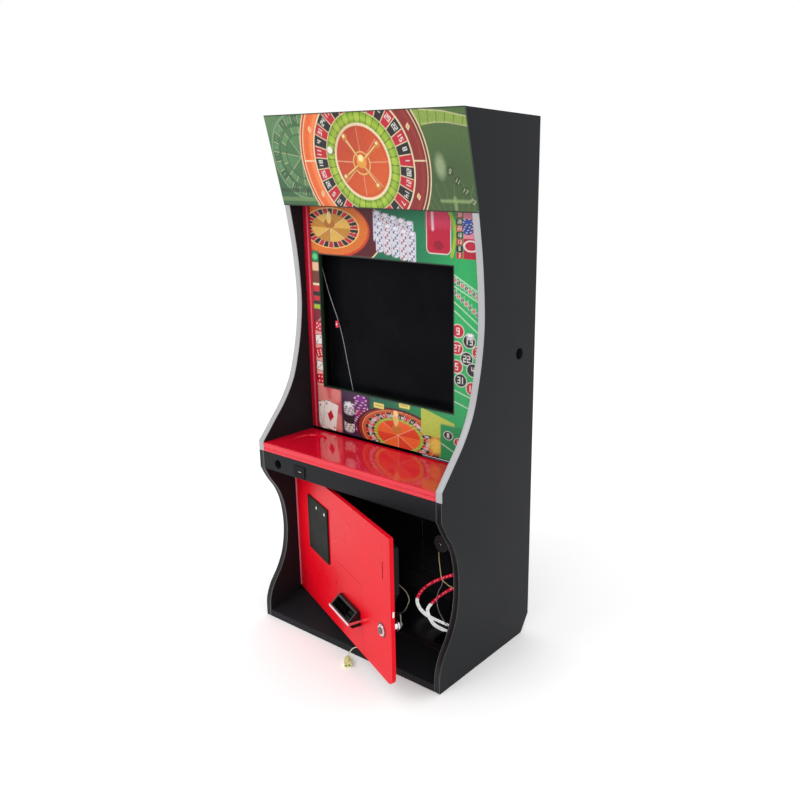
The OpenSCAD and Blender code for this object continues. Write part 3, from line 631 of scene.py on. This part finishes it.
    def die(self, u, v, half, spots, colour, turn):
        """A die's face with its spots."""
        a, b = self.turned(u, v, turn)
        edge = np.hypot(np.maximum(np.abs(a) - half + 4, 0), np.maximum(np.abs(b) - half + 4, 0)) - 4
        self.lay(edge - 1.4, ink(90, 20, 40))
        self.lay(edge, colour)
        at = half * 0.5
        places = {
            2: ((-1, -1), (1, 1)), 3: ((-1, -1), (0, 0), (1, 1)), 4: ((-1, -1), (1, 1), (-1, 1), (1, -1)),
            5: ((-1, -1), (1, 1), (-1, 1), (1, -1), (0, 0)),
            6: ((-1, -1), (1, 1), (-1, 1), (1, -1), (-1, 0), (1, 0)),
        }[spots]
        for i, j in places:
            self.lay(np.hypot(a - i * at, b - j * at) - half * 0.17, WHITE if colour[1] < 0.5 else BLACK)

    def badge(self, u, v, half_width, half_height, colour, text):
        """An oval on the felt with a pale line round it, and a number in it."""
        squash = half_height / half_width
        self.lay(self.disc(u, v, half_width + 1.8, squash), WHITE)
        self.lay(self.disc(u, v, half_width, squash), colour)
        self.number(text, u, v, half_height * 0.95, 0, WHITE, 2.2)


def paint_header(sheet):
    u, v = sheet.u, sheet.v
    lay, disc, discs, box, stroke = sheet.lay, sheet.disc, sheet.discs, sheet.box, sheet.stroke
    hub_u, hub_v = -4, 107

    def ring(radius):
        """Distance to a circle about the main wheel's hub."""
        return disc(hub_u, hub_v, radius)

    left, right = np.array(ink(64, 112, 70)), np.array(ink(80, 108, 60))
    sheet.colour[:] = left + (right - left) * np.clip((u + 100) / 200, 0, 1)[:, None]
    discs(
        ((250, 40, 120, 0.8), ink(60, 84, 48), 0.6, 90), ((-300, 20, 90, 0.8), ink(52, 92, 60), 0.6, 70),
        ((-305, 205, 60, 0.7), ink(118, 150, 104), 0.5, 60),
    )
    for k in range(9):
        stroke([(196 + 14 * k, -4), (150 + 26 * k, 60)], 1.2, ink(122, 150, 92), 0.5, 2)
        stroke([(-330 + 16 * k, 60), (-318 + 12 * k, 34)], 1.2, ink(116, 150, 104), 0.5, 2)
    # Faint wheel on the left
    pale = ink(128, 162, 120)
    sheet.wheel(-205, 120, [
        (98, 104, [pale], 1, 0), (78, 96, [ink(58, 96, 62), ink(96, 138, 92)], 24, 1.4),
        (54, 70, [ink(110, 150, 96), ink(84, 126, 80)], 16, 1.2),
        (0, 50, [ink(96, 140, 92), ink(78, 120, 76)], 8, 1.0),
    ], 1.0, 0.75, 8)
    sheet.numbers_round(-205, 120, 87, 24, 9, pale, width=1.3, turn=8)
    for level, colour in ((39, ink(46, 74, 46)), (17, ink(120, 150, 96))):
        lay(box(-330, level - 5, -185, level + 5, 3), colour, 0.7, 3)
    # Faint wheel on the right: a lime band with dividers, and arms below it
    band = np.maximum(disc(183, -208, 424), -disc(240, -79, 267))
    lay(band, ink(150, 178, 78), 0.8, 3)
    angle = np.degrees(np.arctan2(v + 208, u - 183))
    divider = np.minimum(angle % 3.2, 3.2 - angle % 3.2) * math.radians(1) * 424 - 0.9
    lay(np.maximum(band, divider), ink(70, 92, 44), 0.8)
    stroke([(186, 216), (249, 211), (311, 198)], 2.2, CREAM, 0.6)
    stroke([(190, 186), (225, 189), (256, 188), (311, 179)], 2.0, CREAM, 0.5)
    lay(disc(224, 98, 13, 1.8), ink(168, 184, 140), 0.7, 12)
    stroke([(214, 24), (290, 24)], 7, ink(150, 172, 112), 0.7, 4)
    stroke([(252, 30), (252, 8)], 9, ink(150, 172, 112), 0.6, 4)
    for k in range(5):
        u0, v0 = 249 + 17 * k, 88 - 21 * k
        lay(box(u0 - 8, v0 - 9, u0 + 8, v0 + 9, 2), ink(54, 62, 40), 0.7, 2)
        sheet.number(str(5 + 6 * k), u0, v0, 9, -35, ink(180, 196, 150), 1.5)
    # The main wheel: rim, pockets, inner rings and cone
    warm = np.where((u < hub_u)[:, None], ink(240, 112, 52), ink(142, 42, 42))
    lay(ring(202), CREAM)
    lay(ring(199), np.where((u < hub_u)[:, None], ink(206, 74, 40), ink(112, 32, 36)))
    lay(ring(193), CREAM)
    lay(ring(190.5), warm)
    lay(np.abs(ring(180)) - 4, shade(warm.mean(axis=0), 0.9), 0.25, 8)
    for side in (-1, 1):
        stroke([(hub_u + side * 154, 110), (hub_u + side * 190, 110)], 3, CREAM)
        for tilt in (-26, 26):
            a = math.radians(tilt)
            du, dv = side * 171 * math.cos(a), 171 * math.sin(a)
            diamond = np.abs(u - hub_u - du) + np.abs(v - hub_v - dv) * 0.7 - 6
            lay(diamond, CREAM)
            lay(diamond + 3, ink(226, 150, 60))
    sheet.wheel(hub_u, hub_v, [(152, 157, [CREAM], 1, 0), (113, 153, POCKETS, 34, 2.0)], turn=4)
    sheet.numbers_round(hub_u, hub_v, 138, 34, 11, WHITE, width=1.9, turn=4)
    limes = [LIME, ink(140, 178, 44)]
    sheet.wheel(hub_u, hub_v, [(111, 114, [CREAM], 1, 0), (86, 112, limes, 34, 0)], turn=4)
    for k in range(34):
        a = math.radians(k * 360 / 34 - 4)
        stroke([(hub_u + r * math.cos(a), hub_v + r * math.sin(a)) for r in (87, 111)], 2.0, ink(60, 60, 30))
    for radius in (88, 110):
        lay(np.abs(ring(radius)) - 2, ink(96, 120, 30), 0.55, 5)
    lay(np.abs(ring(98)) - 3, ink(200, 222, 96), 0.4, 8)
    lay(np.abs(ring(151)) - 1.5, ink(40, 16, 20), 0.4, 4)
    lay(np.maximum(np.abs(ring(164)) - 4, u - hub_u), ink(255, 170, 110), 0.5, 9)
    lay(np.maximum(np.abs(ring(188)) - 2, hub_u - u), ink(84, 20, 26), 0.5, 6)
    sheet.wheel(hub_u, hub_v, [(80, 87, [CREAM], 1, 0)])
    top_left, low_right = np.array(ink(172, 52, 44)), np.array(ink(242, 116, 42))
    slope = np.clip(((u - hub_u) - (v - hub_v)) / 180 + 0.5, 0, 1)[:, None]
    lay(ring(80.5), top_left + (low_right - top_left) * slope)
    lay(disc(-30, 140, 46), ink(140, 36, 36), 0.35, 50)
    lay(np.abs(ring(76)) - 2, ink(120, 30, 24), 0.4, 8)
    spokes = [(-6, 183), (47, 158), (76, 108), (47, 52), (-10, 31), (-65, 62), (-88, 110), (-55, 165)]
    for k, (a, b) in enumerate(spokes):
        ahead = spokes[(k + 1) % 8]
        wedge = np.maximum(sheet.above((-7, 106), (a, b)), -sheet.above((-7, 106), ahead))
        if k % 2:
            lay(np.maximum(-wedge, ring(80)), ink(210, 80, 40), 0.25)
        stroke([(-7, 106), (a, b)], 1.8, CREAM, 0.85)
    discs(((-7, 105, 27), ink(238, 190, 110)), ((-7, 105, 24), ink(206, 92, 42)))
    for a, b in ((-48, 163), (51, 146), (-65, 72), (33, 53)):
        stroke([(-7, 105), (a, b)], 6, ink(196, 120, 48))
        stroke([(-8, 107), (a - 1, b + 2)], 2.2, ink(252, 222, 150))
        discs(((a, b, 8.5), ink(206, 130, 52)), ((a - 2, b + 2.5, 3.5), ink(255, 240, 190), 1, 3))
    discs(
        ((-7, 108, 15), ink(232, 160, 64)), ((-8, 116, 8), ink(255, 232, 168), 1, 3),
        ((-101, 132, 10), ink(60, 30, 26), 0.6, 5), ((-103, 135, 8.5), WHITE),
    )
    lay(box(-316, -6, 316, 2.5), ink(30, 36, 28))
    lay(box(-316, 216.5, 316, 226), ink(30, 36, 28))


def paint_art(sheet):
    u, v = sheet.u, sheet.v
    lay, disc, discs, box, stroke = sheet.lay, sheet.disc, sheet.discs, sheet.box, sheet.stroke
    # Felt, from teal at the top left to bright green at the right
    dark, bright = np.array(ink(22, 104, 76)), np.array(ink(44, 176, 98))
    sheet.colour[:] = dark + (bright - dark) * np.clip((u + 20) / 260, 0, 1)[:, None]
    lay(disc(60, 1060, 150, 0.6), ink(24, 112, 84), 0.5, 90)
    # Gold wheel at the top left
    lay(np.maximum(disc(-191, 1046, 184, 0.55), 985 - v), ink(236, 214, 170))
    lay(np.maximum(disc(-191, 1047, 180, 0.55), 985 - v), MAROON)
    discs(((-191, 1047, 136, 0.52), ink(208, 62, 34)), ((-191, 1049, 130, 0.51), ink(224, 116, 44)))
    sheet.wheel(-191, 1050, [(94, 101, [ink(250, 206, 120)], 1, 0), (68, 97, POCKETS, 30, 2.0)], 0.5)
    sheet.wheel(-191, 1051, [(0, 70, [ink(226, 178, 84), ink(196, 136, 52)], 8, 1.4)], 0.5)
    discs(
        ((-195, 1061, 20, 0.6), ink(180, 110, 40)), ((-196, 1076, 9, 1.7), ink(240, 196, 104)),
        ((-199, 1082, 3, 2.0), WHITE, 0.8, 3),
    )
    # Chips on the felt
    for row in range(2):
        for k in range(5):
            a, b = -30 + 26 * k + 8 * row, 1026 - 5 * k + 26 * (1 - row) + 2 * row
            spots = (ink(96, 84, 150), ink(176, 60, 92))[k % 2]
            sheet.column(a, b - 22, 12.5, 6.5, 11, 6.2, ink(228, 226, 236), spots)
    # Crimson panel with a pin, a lime arc, pockets and a pink corner
    lay(box(126, 1006, 200, 1120, 14), WHITE)
    lay(box(128, 1008, 198, 1118, 12), ink(196, 22, 58))
    lay(np.maximum(box(128, 1008, 198, 1118, 12), 1066 - v), ink(226, 62, 100), 0.8, 16)
    stroke([(146, 1062), (144, 1098)], 7, ink(248, 214, 224), 0.9, 4)
    lay(disc(163, 1026, 15, 0.7), ink(142, 10, 40), 0.8, 6)
    stroke([(195, 1104), (208, 1080), (212, 1052), (208, 1026), (202, 1004)], 9, LIME)
    for k in range(7):
        lay(box(215, 1000 + 15 * k, 234, 1014 + 15 * k, 2), POCKETS[k % 2])
        sheet.number(str(3 + 5 * k), 224.5, 1007 + 15 * k, 7.5, 0, WHITE, 1.4)
    lay(box(236, 1045, 300, 1140), ink(232, 140, 158))
    lay(box(236, 1000, 300, 1045), ink(186, 24, 52))
    discs(((257, 1029, 22, 0.6), WHITE), ((257, 1029, 17, 0.6), ink(200, 36, 66)))
    sheet.chips(248, 1064, 15, 7, 4, 6, ink(58, 84, 176), WHITE)
    # Betting lines and ovals down the right side
    for a, low, high in ((207, 963, 922), (207, 937, 900), (206, 902, 848), (206, 882, 826)):
        stroke([(a, low), (290, high)], 2.2, FELT_LINE)
    for row, start in enumerate((950, 921)):
        for k in range(8):
            a, b = 211 + 11 * k, start - 5.5 * k - (2 * k if row else 0)
            discs(((a, b, 5.6, 1.1), WHITE), ((a, b, 4.6, 1.1), POCKETS[(k + row) % 2]))
            stroke([(a - 1, b + 3), (a + 1, b - 3)], 1.3, WHITE)
            stroke([(a + 5.5, b + 9), (a + 5.5, b - 12)], 1.1, FELT_LINE, 0.8)
    for a, b, colour, text in (
        (220, 833, POCKET_RED, "9"), (217, 792, POCKET_RED, "27"), (253, 812, BLACK, "13"),
        (246, 770, BLACK, "22"), (216, 748, POCKET_RED, "5"), (264, 745, BLACK, "4"),
        (228, 716, BLACK, "31"), (262, 700, POCKET_RED, "18"),
        (280, 788, POCKET_RED, "36"),
    ):
        sheet.badge(a, b, 17, 15, colour, text)
    sheet.chips(256, 822, 11, 5, 2, 5, WHITE, ink(60, 90, 190))
    stroke([(206, 690), (292, 668)], 2.2, FELT_LINE)
    stroke([(206, 662), (292, 640)], 2.2, FELT_LINE)
    # Column down the left side
    column = (
        (960, 990, ink(24, 120, 70)), (938, 960, ink(240, 190, 150)), (906, 938, ink(120, 60, 44)),
        (900, 906, CREAM), (884, 900, ink(206, 36, 48)), (872, 884, BLACK), (860, 872, ink(206, 36, 48)),
        (850, 860, BLACK), (838, 850, LIME), (796, 838, ink(124, 22, 42)), (500, 796, ink(238, 150, 146)),
    )
    for low, high, colour in column:
        lay(box(-300, low, -239, high), colour, 1, 3)
    lay(disc(-254, 975, 10, 0.8), ink(96, 220, 140), 0.9, 6)
    lay(np.maximum(disc(-252, 560, 60, 2.4), u + 236), ink(250, 186, 160), 0.6, 40)
    for low in range(520, 800, 46):
        stroke([(-262, low), (-240, low + 18)], 3, ink(252, 206, 190), 0.6, 6)
    for k, (low, spots) in enumerate(((792, 5), (756, 2), (720, 6), (684, 3), (648, 4))):
        sheet.die(-252, low, 12, spots, (ink(214, 30, 56), ink(244, 232, 226))[k % 2], 12 * (k % 3) - 8)
    # Band under the window
    lay(box(-300, 500, -174, 629), ink(206, 84, 96), 1, 6)
    for a, b, r in ((-252, 604, 26), (-196, 610, 20), (-186, 536, 24), (-246, 528, 20), (-222, 566, 30)):
        lay(disc(a, b, r), ink(246, 168, 150), 0.55, 12)
    for turn, pip in ((34, MAROON), (12, POCKET_RED), (-10, POCKET_RED)):
        sheet.card(-226, 512, 25, 76, turn, pip)
    lay(box(-176, 500, -70, 630), ink(64, 26, 66), 1, 8)
    for k in range(3):
        sheet.chips(-148, 528 + 24 * k, 19, 9, 3, 8, (WHITE, ink(44, 40, 46), ink(228, 226, 232))[k], BLACK)
    for k in range(4):
        violet = (ink(176, 26, 110), ink(128, 34, 140))[k % 2]
        sheet.chips(-101 - 4 * (k % 2), 532 + 22 * k, 24, 10, 3, 8, violet, ink(240, 206, 226))
    discs(
        ((27, 541, 148, 0.47), ink(60, 12, 22)), ((27, 541, 141, 0.465), ink(150, 34, 34)),
        ((27, 541, 128, 0.49), ink(236, 200, 130)),
    )
    sheet.wheel(27, 541, [(112, 126, [ink(206, 90, 40)], 1, 0), (84, 115, POCKETS, 32, 2.0)], 0.49)
    sheet.numbers_round(27, 541, 99, 32, 11, WHITE, 0.49, width=1.5)
    cone = [ink(226, 70, 36), ink(244, 108, 48)]
    sheet.wheel(27, 541, [(72, 84, [LIME], 32, 1.2), (0, 73, cone, 8, 1.4)], 0.52)
    discs(
        ((22, 556, 17, 0.7), ink(206, 120, 50)), ((19, 580, 8, 2.2), ink(242, 196, 110)),
        ((19, 597, 8), ink(255, 226, 150)), ((154, 537, 26, 0.8), ink(244, 220, 96), 0.8, 16),
    )
    for a, b in ((-39, 608), (49, 623)):
        lay(box(a - 18, b - 7, a + 18, b + 7, 2), ink(238, 222, 120))
        stroke([(a - 12, b), (a + 12, b)], 2, ink(160, 150, 60))
    lay(np.maximum(sheet.above((109, 628), (204, 606)) * -1, box(104, 560, 210, 640)), ink(190, 204, 80))
    lay(box(166, 506, 300, 598, 4), ink(30, 150, 86), 1, 5)
    for k in range(3):
        sheet.badge(190 + 32 * k, 572 - 12 * k, 13, 10, (BLACK, POCKET_RED, BLACK)[k], ("8", "19", "33")[k])
    stroke([(168, 548), (292, 500)], 2.2, FELT_LINE)
    # Red strip with a highlight along the left edge, and a thin black line round the window
    lay(box(-300, 500, -266, 1140), ink(196, 18, 44))
    stroke([(-277, 500), (-277, 1136)], 4, ink(244, 120, 140), 0.9, 3)
    stroke([(-266, 500), (-266, 1136)], 2, ink(80, 8, 22))
    x0, x1, z0, z1 = WINDOW
    lay(box(x0 - 3, z0 - 3, x1 + 3, z1 + 3), BLACK)


def ticks(stops, step):
    """Places from the first stop to the last, about step apart, with every stop among them."""
    out = [stops[0]]
    for a, b in zip(stops, stops[1:]):
        out += list(np.linspace(a, b, max(1, round((b - a) / step)) + 1)[1:])
    return np.array(out)


def printed_panel(name, node_name, across_stops, up_stops, step, place, thickness, paint, hole=None):
    """A closed board whose front is a painted grid. place turns (across, up) into a point in millimetres."""
    us, vs = ticks(across_stops, step), ticks(up_stops, step)
    nu, nv = len(us), len(vs)
    grid_u, grid_v = np.meshgrid(us, vs)
    sheet = Sheet(grid_u.ravel(), grid_v.ravel())
    paint(sheet)
    front = np.array([place(u, v) for u, v in zip(sheet.u, sheet.v)])
    index = np.arange(nu * nv).reshape(nv, nu)
    quads = np.stack([index[:-1, :-1], index[:-1, 1:], index[1:, 1:], index[1:, :-1]], axis=-1)
    keep = np.ones((nv - 1, nu - 1), bool)
    loops = [(0, 0, nu - 1, nv - 1)]
    if hole:
        i0, i1 = np.abs(us - hole[0]).argmin(), np.abs(us - hole[1]).argmin()
        j0, j1 = np.abs(vs - hole[2]).argmin(), np.abs(vs - hole[3]).argmin()
        keep[j0:j1, i0:i1] = False
        loops.append((i0, j0, i1, j1))
    faces = [tuple(int(k) for k in q) for q in quads[keep]]
    fronts = len(faces)
    verts = [tuple(p) for p in front]
    rings = []
    for number, (i0, j0, i1, j1) in enumerate(loops):
        corners = [(i0, j0), (i1, j0), (i1, j1), (i0, j1)]
        ring = []
        for i, j in corners:
            ring.append(len(verts))
            verts.append(tuple(front[index[j, i]] + np.array([0, thickness, 0])))
        rings.append(ring)
        sides = [index[j0, i0:i1 + 1], index[j0:j1 + 1, i1]]
        sides += [index[j1, i0:i1 + 1][::-1], index[j0:j1 + 1, i0][::-1]]
        for k, side in enumerate(sides):
            wall = [int(n) for n in side[::-1]] + [ring[k], ring[(k + 1) % 4]]
            faces.append(tuple(wall if number == 0 else wall[::-1]))
    if hole:
        outer, inner = rings
        faces += [(outer[(k + 1) % 4], outer[k], inner[k], inner[(k + 1) % 4]) for k in range(4)]
    else:
        faces.append(tuple(rings[0][::-1]))
    used = sorted({k for f in faces for k in f})
    renumber = {k: n for n, k in enumerate(used)}
    faces = [tuple(renumber[k] for k in f) for f in faces]
    mesh = bpy.data.meshes.new(name)
    mesh.from_pydata([tuple(c * MM for c in verts[k]) for k in used], [], faces)
    mesh.polygons.foreach_set("material_index", [0] * fronts + [1] * (len(faces) - fronts))
    colour = np.zeros((len(used), 4), np.float32)
    colour[:, 3] = 1
    painted = np.array([k for k in used if k < nu * nv])
    colour[: len(painted), :3] = sheet.colour[painted]
    mesh.attributes.new("ink", "FLOAT_COLOR", "POINT").data.foreach_set("color", colour.ravel())
    piece = add_object(name, mesh, "cabinet", [FILM, LOOKS["printed_board"]])
    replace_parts(piece, node_name)


HEADER_LOW, HEADER_HIGH, HEADER_DEEP = (-49, 1104), (-99, 1317), 5
HEADER_UP = math.dist(HEADER_LOW, HEADER_HIGH)
WINDOW = (-239, 206, 630, 981)


def on_header(u, v):
    along = v / HEADER_UP
    return (u, *(low + (high - low) * along for low, high in zip(HEADER_LOW, HEADER_HIGH)))


printed_panel(
    "header_print", "header_panel", (-310, 310), (0, HEADER_UP), 1.25, on_header, HEADER_DEEP, paint_header,
)
printed_panel(
    "art_print", "art_panel", (-291.8, WINDOW[0], WINDOW[1], 291.8), (509, WINDOW[2], WINDOW[3], 1130), 1.5,
    lambda u, v: (u, -5, v), 10, paint_art, WINDOW,
)


# ---- CAD nodes with their edges rounded ----


def rounded(name, width):
    """A copy of a node with its sharp edges rounded by width millimetres."""
    bm = bmesh.new()
    bm.from_mesh(NODES[name].data)
    # Split points are joined and flat faces made whole first
    bmesh.ops.remove_doubles(bm, verts=bm.verts, dist=2e-6)
    bmesh.ops.dissolve_limit(bm, angle_limit=math.radians(0.6), verts=bm.verts, edges=bm.edges)
    edges = [e for e in bm.edges if len(e.link_faces) == 2 and e.calc_face_angle(0) > math.radians(30)]
    bmesh.ops.bevel(
        bm, geom=edges, offset=width * MM, segments=2, profile=0.5, clamp_overlap=True, affect="EDGES"
    )
    mesh = mesh_of(name + "_rounded", bm)
    smooth_by_angle(mesh, 40)
    looks = list(NODES[name].data.materials)
    piece = add_object(name + "_rounded", mesh, BODY_OF[name], looks)
    even_normals(piece)
    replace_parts(piece, name)


EDGE = 0.6
OTHER_EDGES = {"coin_cup": 1.0, "cup_rim": 1.0, "deck_nosing": 0.5, "door_panel": 0.4}
for board in (
    "side_panel_left", "side_panel_right", "top_panel", "rear_panel", "rear_door", "rear_stiles",
    "apron_rail", "deck_nosing", "kick_ramp", "door_sill", "blanking_plate", "payout_panel",
    "harness_bracket", "coin_cup", "cup_rim", "lock_body", "lock_cam", "rear_lock_body", "port_plate",
    "deck_board", "door_panel",
):
    rounded(board, OTHER_EDGES.get(board, EDGE))


# ---- Front edge mouldings ----

UPPER_KNOTS = [
    (-49, 1104), (-34, 1010), (-26, 920), (-25, 850), (-33, 780), (-47, 715), (-66, 655), (-98, 600),
    (-139, 550), (-177, 505),
]
LOWER_KNOTS = [
    (-177, 432), (-160, 398), (-136, 360), (-121, 318), (-114, 268), (-115, 218), (-125, 168), (-145, 126),
    (-170, 90), (-184, 55), (-187, 25),
]
MOULDING = 2  # how far a moulding stands out from the board's edge


def edge_line(knots, before, after):
    line = curve_through([(0, y, z) for y, z in knots], 8)
    return [Vector((0, *p)) for p in before] + line + [Vector((0, *p)) for p in after]


def moulding(name, line, x0, profile, slot, node_name):
    """Strip with the given profile, swept along the side panel's front edge."""
    verts, count = [], len(profile)
    for i, p in enumerate(line):
        ahead = (line[min(i + 1, len(line) - 1)] - line[max(i - 1, 0)]).normalized()
        inwards = Vector((0, -ahead.z, ahead.y))
        verts += [Vector((x0 + x, 0, 0)) + p + inwards * (MOULDING - height) for x, height in profile]
    faces = side_faces(0, len(line), count)
    faces += [tuple(range(count - 1, -1, -1)), tuple(range(len(verts) - count, len(verts)))]
    mesh = mesh_from(name, [v * MM for v in verts], faces)
    tops = [(profile[k][1] + profile[(k + 1) % count][1]) / 2 for k in range(count)]
    # Faces high on the black moulding's bead take a lighter grey, a painted highlight along its ridge
    bead_highlight_faces = [slot == "black_molding" and height > 1.6 for height in tops] * (len(line) - 1) + [False, False]
    mesh.polygons.foreach_set("material_index", [int(b) for b in bead_highlight_faces])
    smooth_by_angle(mesh, 50)
    piece = add_object(name, mesh, "cabinet", [LOOKS[slot], BEAD_HIGHLIGHT])
    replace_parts(piece, node_name)


# Lighter grey for the painted highlight on the black mouldings' bead
BEAD_HIGHLIGHT = finish("bead_painted_highlight", ink(92, 94, 96), 0.3, vary=0.12, patch=20, grain=500)
BOARD = 18


def crown(half):
    """The profile whose left half is given, from the foot up to the board's middle."""
    return half + [(BOARD - x, height) for x, height in half[-2::-1]]


ROUND_CROWN = crown([(0.1, 0), (0.1, 0.7), (0.5, 1.3), (1.4, 1.75), (4, 1.95), (9, 2.0)])
BEADED_CROWN = crown([(0.1, 0), (0.1, 1.2), (0.8, 1.9), (1.8, 1.9), (2.5, 1.2), (3.2, 0.9), (9, 1.1)])
upper_line = edge_line(UPPER_KNOTS, [], [(-177, 480)])
lower_line = edge_line(LOWER_KNOTS, [(-177, 480)], [(-187, 0.4)])
for side, x0 in (("left", -310), ("right", 292)):
    moulding("silver_trim_" + side, upper_line, x0, ROUND_CROWN, "silver_molding", "silver_t_molding_" + side)
    moulding("black_trim_" + side, lower_line, x0, BEADED_CROWN, "black_molding", "black_t_molding_" + side)


# ---- Small details ----

DOOR_PIN = (-289.2, -77.5)
DOOR_OPEN = 21
ON_DOOR = Matrix.Translation((DOOR_PIN[0] * MM, DOOR_PIN[1] * MM, 0)) @ Matrix.Rotation(
    math.radians(-DOOR_OPEN), 4, "Z"
)
# Dark red for the painted shadow round the front lock
LOCK_SHADOW_RED = finish("shadow_red", ink(120, 6, 22), 0.4, vary=0.05, patch=40)
CHROME_DARK = finish("worn_zinc", ink(140, 136, 130), 0.3, **SILVER)


def turned(name, profile, places, body, look, sides, turn=Matrix()):
    """Round pieces. profile holds (radius, height) points, and each place is (point, direction)."""
    verts, faces = [], []
    for point, direction in places:
        spin = Vector((0, 0, 1)).rotation_difference(Vector(direction)).to_matrix()
        first = len(verts)
        for radius, height in profile:
            for k in range(sides):
                a = 2 * math.pi * k / sides
                local = Vector((radius * math.cos(a), radius * math.sin(a), height))
                verts.append((Vector(point) + spin @ local) * MM)
        faces += side_faces(first, len(profile), sides)
        faces.append(tuple(first + k for k in range(sides - 1, -1, -1)))
        faces.append(tuple(first + (len(profile) - 1) * sides + k for k in range(sides)))
    mesh = mesh_from(name, verts, faces)
    mesh.transform(turn)
    smooth_by_angle(mesh, 35)
    add_object(name, mesh, body, [look])


PAN_HEAD = [(4.0, 0), (4.0, 0.8), (3.6, 1.5), (2.8, 2.0), (1.4, 2.25), (0.3, 2.3)]
WOOD_SCREW = [(3.4, 0.02), (3.4, 0.35), (3.1, 0.5), (1.5, 0.55), (0.3, 0.56)]

# Screws in the rear boards, in the bay's bracket and in the rear hinges
REAR_FACE = 187
rear_places = [(x, z) for x in (-280, 280) for z in (500, 700, 900, 1100, 1280)]
rear_places += [(x, 1290) for x in (-140, 0, 140)]
rear_places += [(x, z) for x in (-280, 280) for z in (60, 250, 440)]
rear_screws = [((x, REAR_FACE, z), (0, 1, 0)) for x, z in rear_places]
hinge_places = [((-183, 188.6, z + dz), (0, 1, 0)) for z in (130, 370) for dz in (7, 33)]
turned("rear_screw_heads", WOOD_SCREW, rear_screws, "cabinet", CHROME_DARK, 20)
turned("bracket_screw", PAN_HEAD, [((160, -1.4, 274), (0, -1, 0))], "cabinet", LOOKS["chrome"], 24)
turned("hinge_screws", WOOD_SCREW, hinge_places, "cabinet", CHROME_DARK, 20)

# Tongue inside the port, and the crimped splice on the lead behind the window
block("port_tongue", (-161, -177.6, 449.7), (-149, -168.6, 451.3), "cabinet", NYLON, 0.2)
# The splice takes the red strip film and so carries its painted glow.
block("lead_splice", (-205, 12, 791), (-197, 17.2, 809), "cabinet", RED_FILM_PAINTED_GLOW, 1.2)
block("lead_clip", (-203.5, 11.4, 798), (-198.5, 12.4, 802), "cabinet", NYLON, 0.4)

# White bumper on the door's free edge, and a pale strip down a seam in the rear door, painted light where
# light shows through the seam
block("door_bumper", (576, 5, 225), (577, 9.5, 239), "main_door", NYLON, 0.4, ON_DOOR)
block("rear_gap_light_strip", (-52.2, 174.2, 74), (-50.8, 175.2, 350), "back_door", CHROME_DARK, 0.2)
# Painted shadow round the front lock: a thin dark red ring where the recess's shade falls
LOCK_SHADOW_RING = [(19, 0), (19, 0.5), (18.5, 0.9), (15.2, 0.9), (14.7, 0.5)]
turned("lock_shadow_ring", LOCK_SHADOW_RING, [((528, 1, 172), (0, -1, 0))], "main_door", LOCK_SHADOW_RED, 48, ON_DOOR)


# ---- Floor and light ----


def add_stage():
    bpy.ops.mesh.primitive_plane_add(size=14, location=(0, 0, -0.0005))
    floor = bpy.context.object
    floor.name = "floor"
    pale = finish("pale_floor", ink(250, 250, 250), 0.7, vary=0.004, patch=1, relief=0.01)
    shine(pale, (1, 1, 1), 0.12)
    floor.data.materials.append(pale)
    world = bpy.data.worlds.new("studio")
    world.use_nodes = True
    put(world, world.node_tree.nodes["Background"], {"Color": (1, 1, 1, 1), "Strength": 1.0})
    bpy.context.scene.world = world


def add_lamp(name, kind, place, target, power, **shape):
    data = bpy.data.lights.new(name, kind)
    data.energy = power
    for key, value in shape.items():
        setattr(data, key, value)
    lamp = bpy.data.objects.new(name, data)
    lamp.location = place
    lamp.rotation_euler = (Vector(target) - Vector(place)).to_track_quat("-Z", "Y").to_euler()
    bpy.context.scene.collection.objects.link(lamp)


add_stage()
add_lamp("key", "AREA", (-1.4, -2.8, 2.8), (0, 0, 0.6), 34, size=1.8)
add_lamp("side", "AREA", (2.8, -0.6, 2.6), (0, 0, 0.7), 8, size=1.6)
# A narrow lamp beside the camera, which reaches into the open bay
FLASH = dict(spot_size=math.radians(6.5), spot_blend=0.8, shadow_soft_size=0.03)
add_lamp("flash", "SPOT", (1.40, -1.46, 1.15), (0.165, 0.03, 0.135), 60, **FLASH)
